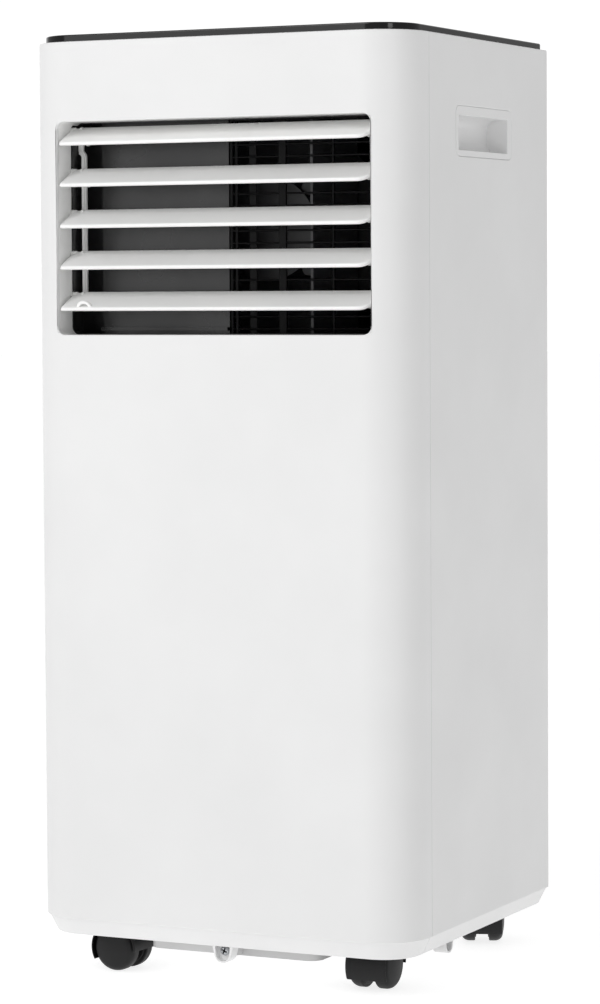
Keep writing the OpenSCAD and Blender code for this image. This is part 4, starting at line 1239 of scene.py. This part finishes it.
for name in ("fl", "fr", "rl", "rr"):
    place = castor_place(name)
    swivel = Vector(joint_of[f"castor_{name}"]["pos_m"])
    low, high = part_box(f"castor_{name}")
    parts = hood_shape()
    for part in parts:
        part.data.transform(place)
    stem_profile = [(0, 24 * mm), (8 * mm, 24 * mm), (8 * mm, 37.5 * mm), (4 * mm, 37.5 * mm),
                    (4 * mm, high.z - 1 * mm),
                    (3.4 * mm, high.z), (0, high.z)]
    stem = turned("stem", stem_profile, Matrix.Translation((swivel.x, swivel.y, 0)), 32)
    parts.append(rounded(stem, 0.4 * mm))
    axle = slab("axle", circle(2.5 * mm, steps=24), "x", -wheel_in - 10 * mm, wheel_in + 10 * mm)
    axle.data.transform(place)
    parts.append(axle)
    node = f"castor_{name}"
    hand_over(merge(f"{node}_hood", *parts), node, "castor_black", castor_black, node)
    for letter, side in (("a", -1), ("b", 1)):
        outwards = place @ facing((side * wheel_in, 0, 0), (side, 0, 0))
        wheel = turned(f"castor_{name}_wheel_{letter}", wheel_profile, outwards, 72)
        node = f"wheel_{name}_{letter}"
        hand_over(rounded(wheel, 0.25 * mm), node, "castor_black", castor_black, node)
print("4 castors, wheels", 2 * wheel_radius / mm, "mm across")

# %% [markdown]
# ## Base and inner parts
# The base pan shows only as a pale strip between the castors, and the rest is hidden unless a filter
# is pulled. These parts keep the shape that the frame gives them, with softer edges and their real
# materials, apart from the two coils. The upper motor gets satin black plastic, as a resin moulded
# one has. A coil is a stack of thin aluminium fins, so it is built as
# one, each fin a thin plate, between the two thicker end plates.

# %% Keep the parts inside
kept = {
    pan_grey: ["base_pan"],
    inner_grey: ["top_frame", "drip_deck", "low_scroll", "control_box"],
    guard_black: ["low_fan_wheel"],
    scroll_grey: ["top_scroll"],
    key_black: ["top_fan_wheel", "top_fan_motor"],
    motor_steel: ["low_fan_motor", "capacitor"],
    black_enamel: ["compressor_shell", "compressor_cap", "accumulator"],
    rubber_black: ["compressor_grommets"],
    copper: ["evaporator_tubes", "condenser_tubes", "refrigerant_pipes"],
    board_green: ["control_board"],
}
for finish, nodes in kept.items():
    for node in nodes:
        refine(node, finish, 0 if "tubes" in node or "fan_wheel" in node else 0.3 * mm)
print(sum(len(nodes) for nodes in kept.values()), "parts kept")

# %% Build the coils
fin_pitch, fin_thick, end_plate = 2 * mm, 0.25 * mm, 2.5 * mm


def coil(node, name):
    low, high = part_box(node)
    edge = Vector((end_plate, 1.5 * mm, 1.5 * mm))
    inner_low, inner_high = low + edge, high - edge
    plates = []
    for x in (low.x, high.x - end_plate):
        outline = [(low.y, low.z), (high.y, low.z), (high.y, high.z), (low.y, high.z)]
        plates.append(rounded(slab("end_plate", outline, "x", x, x + end_plate), 0.4 * mm))
    outline = [(inner_low.y, inner_low.z), (inner_high.y, inner_low.z),
               (inner_high.y, inner_high.z), (inner_low.y, inner_high.z)]
    count = int((inner_high.x - inner_low.x) / fin_pitch)
    for i in range(count):
        x = inner_low.x + (i + 0.5) * fin_pitch
        plates.append(slab("fin", outline, "x", x - fin_thick / 2, x + fin_thick / 2))
    rows = int((inner_high.z - inner_low.z) / (28 * mm))
    for row in range(rows):
        z = inner_low.z + (row + 0.75) * 28 * mm
        for y in (inner_low.y + 7 * mm, inner_high.y - 7 * mm):
            plates.append(slab("tube", circle(3.5 * mm, (y, z), 16), "x", inner_low.x, inner_high.x))
    hand_over(merge(name, *plates), "cabinet", "fins", fin_metal, node)
    return count


print("fins:", coil("evaporator_coil", "evaporator_fins"), coil("condenser_coil", "condenser_fins"))
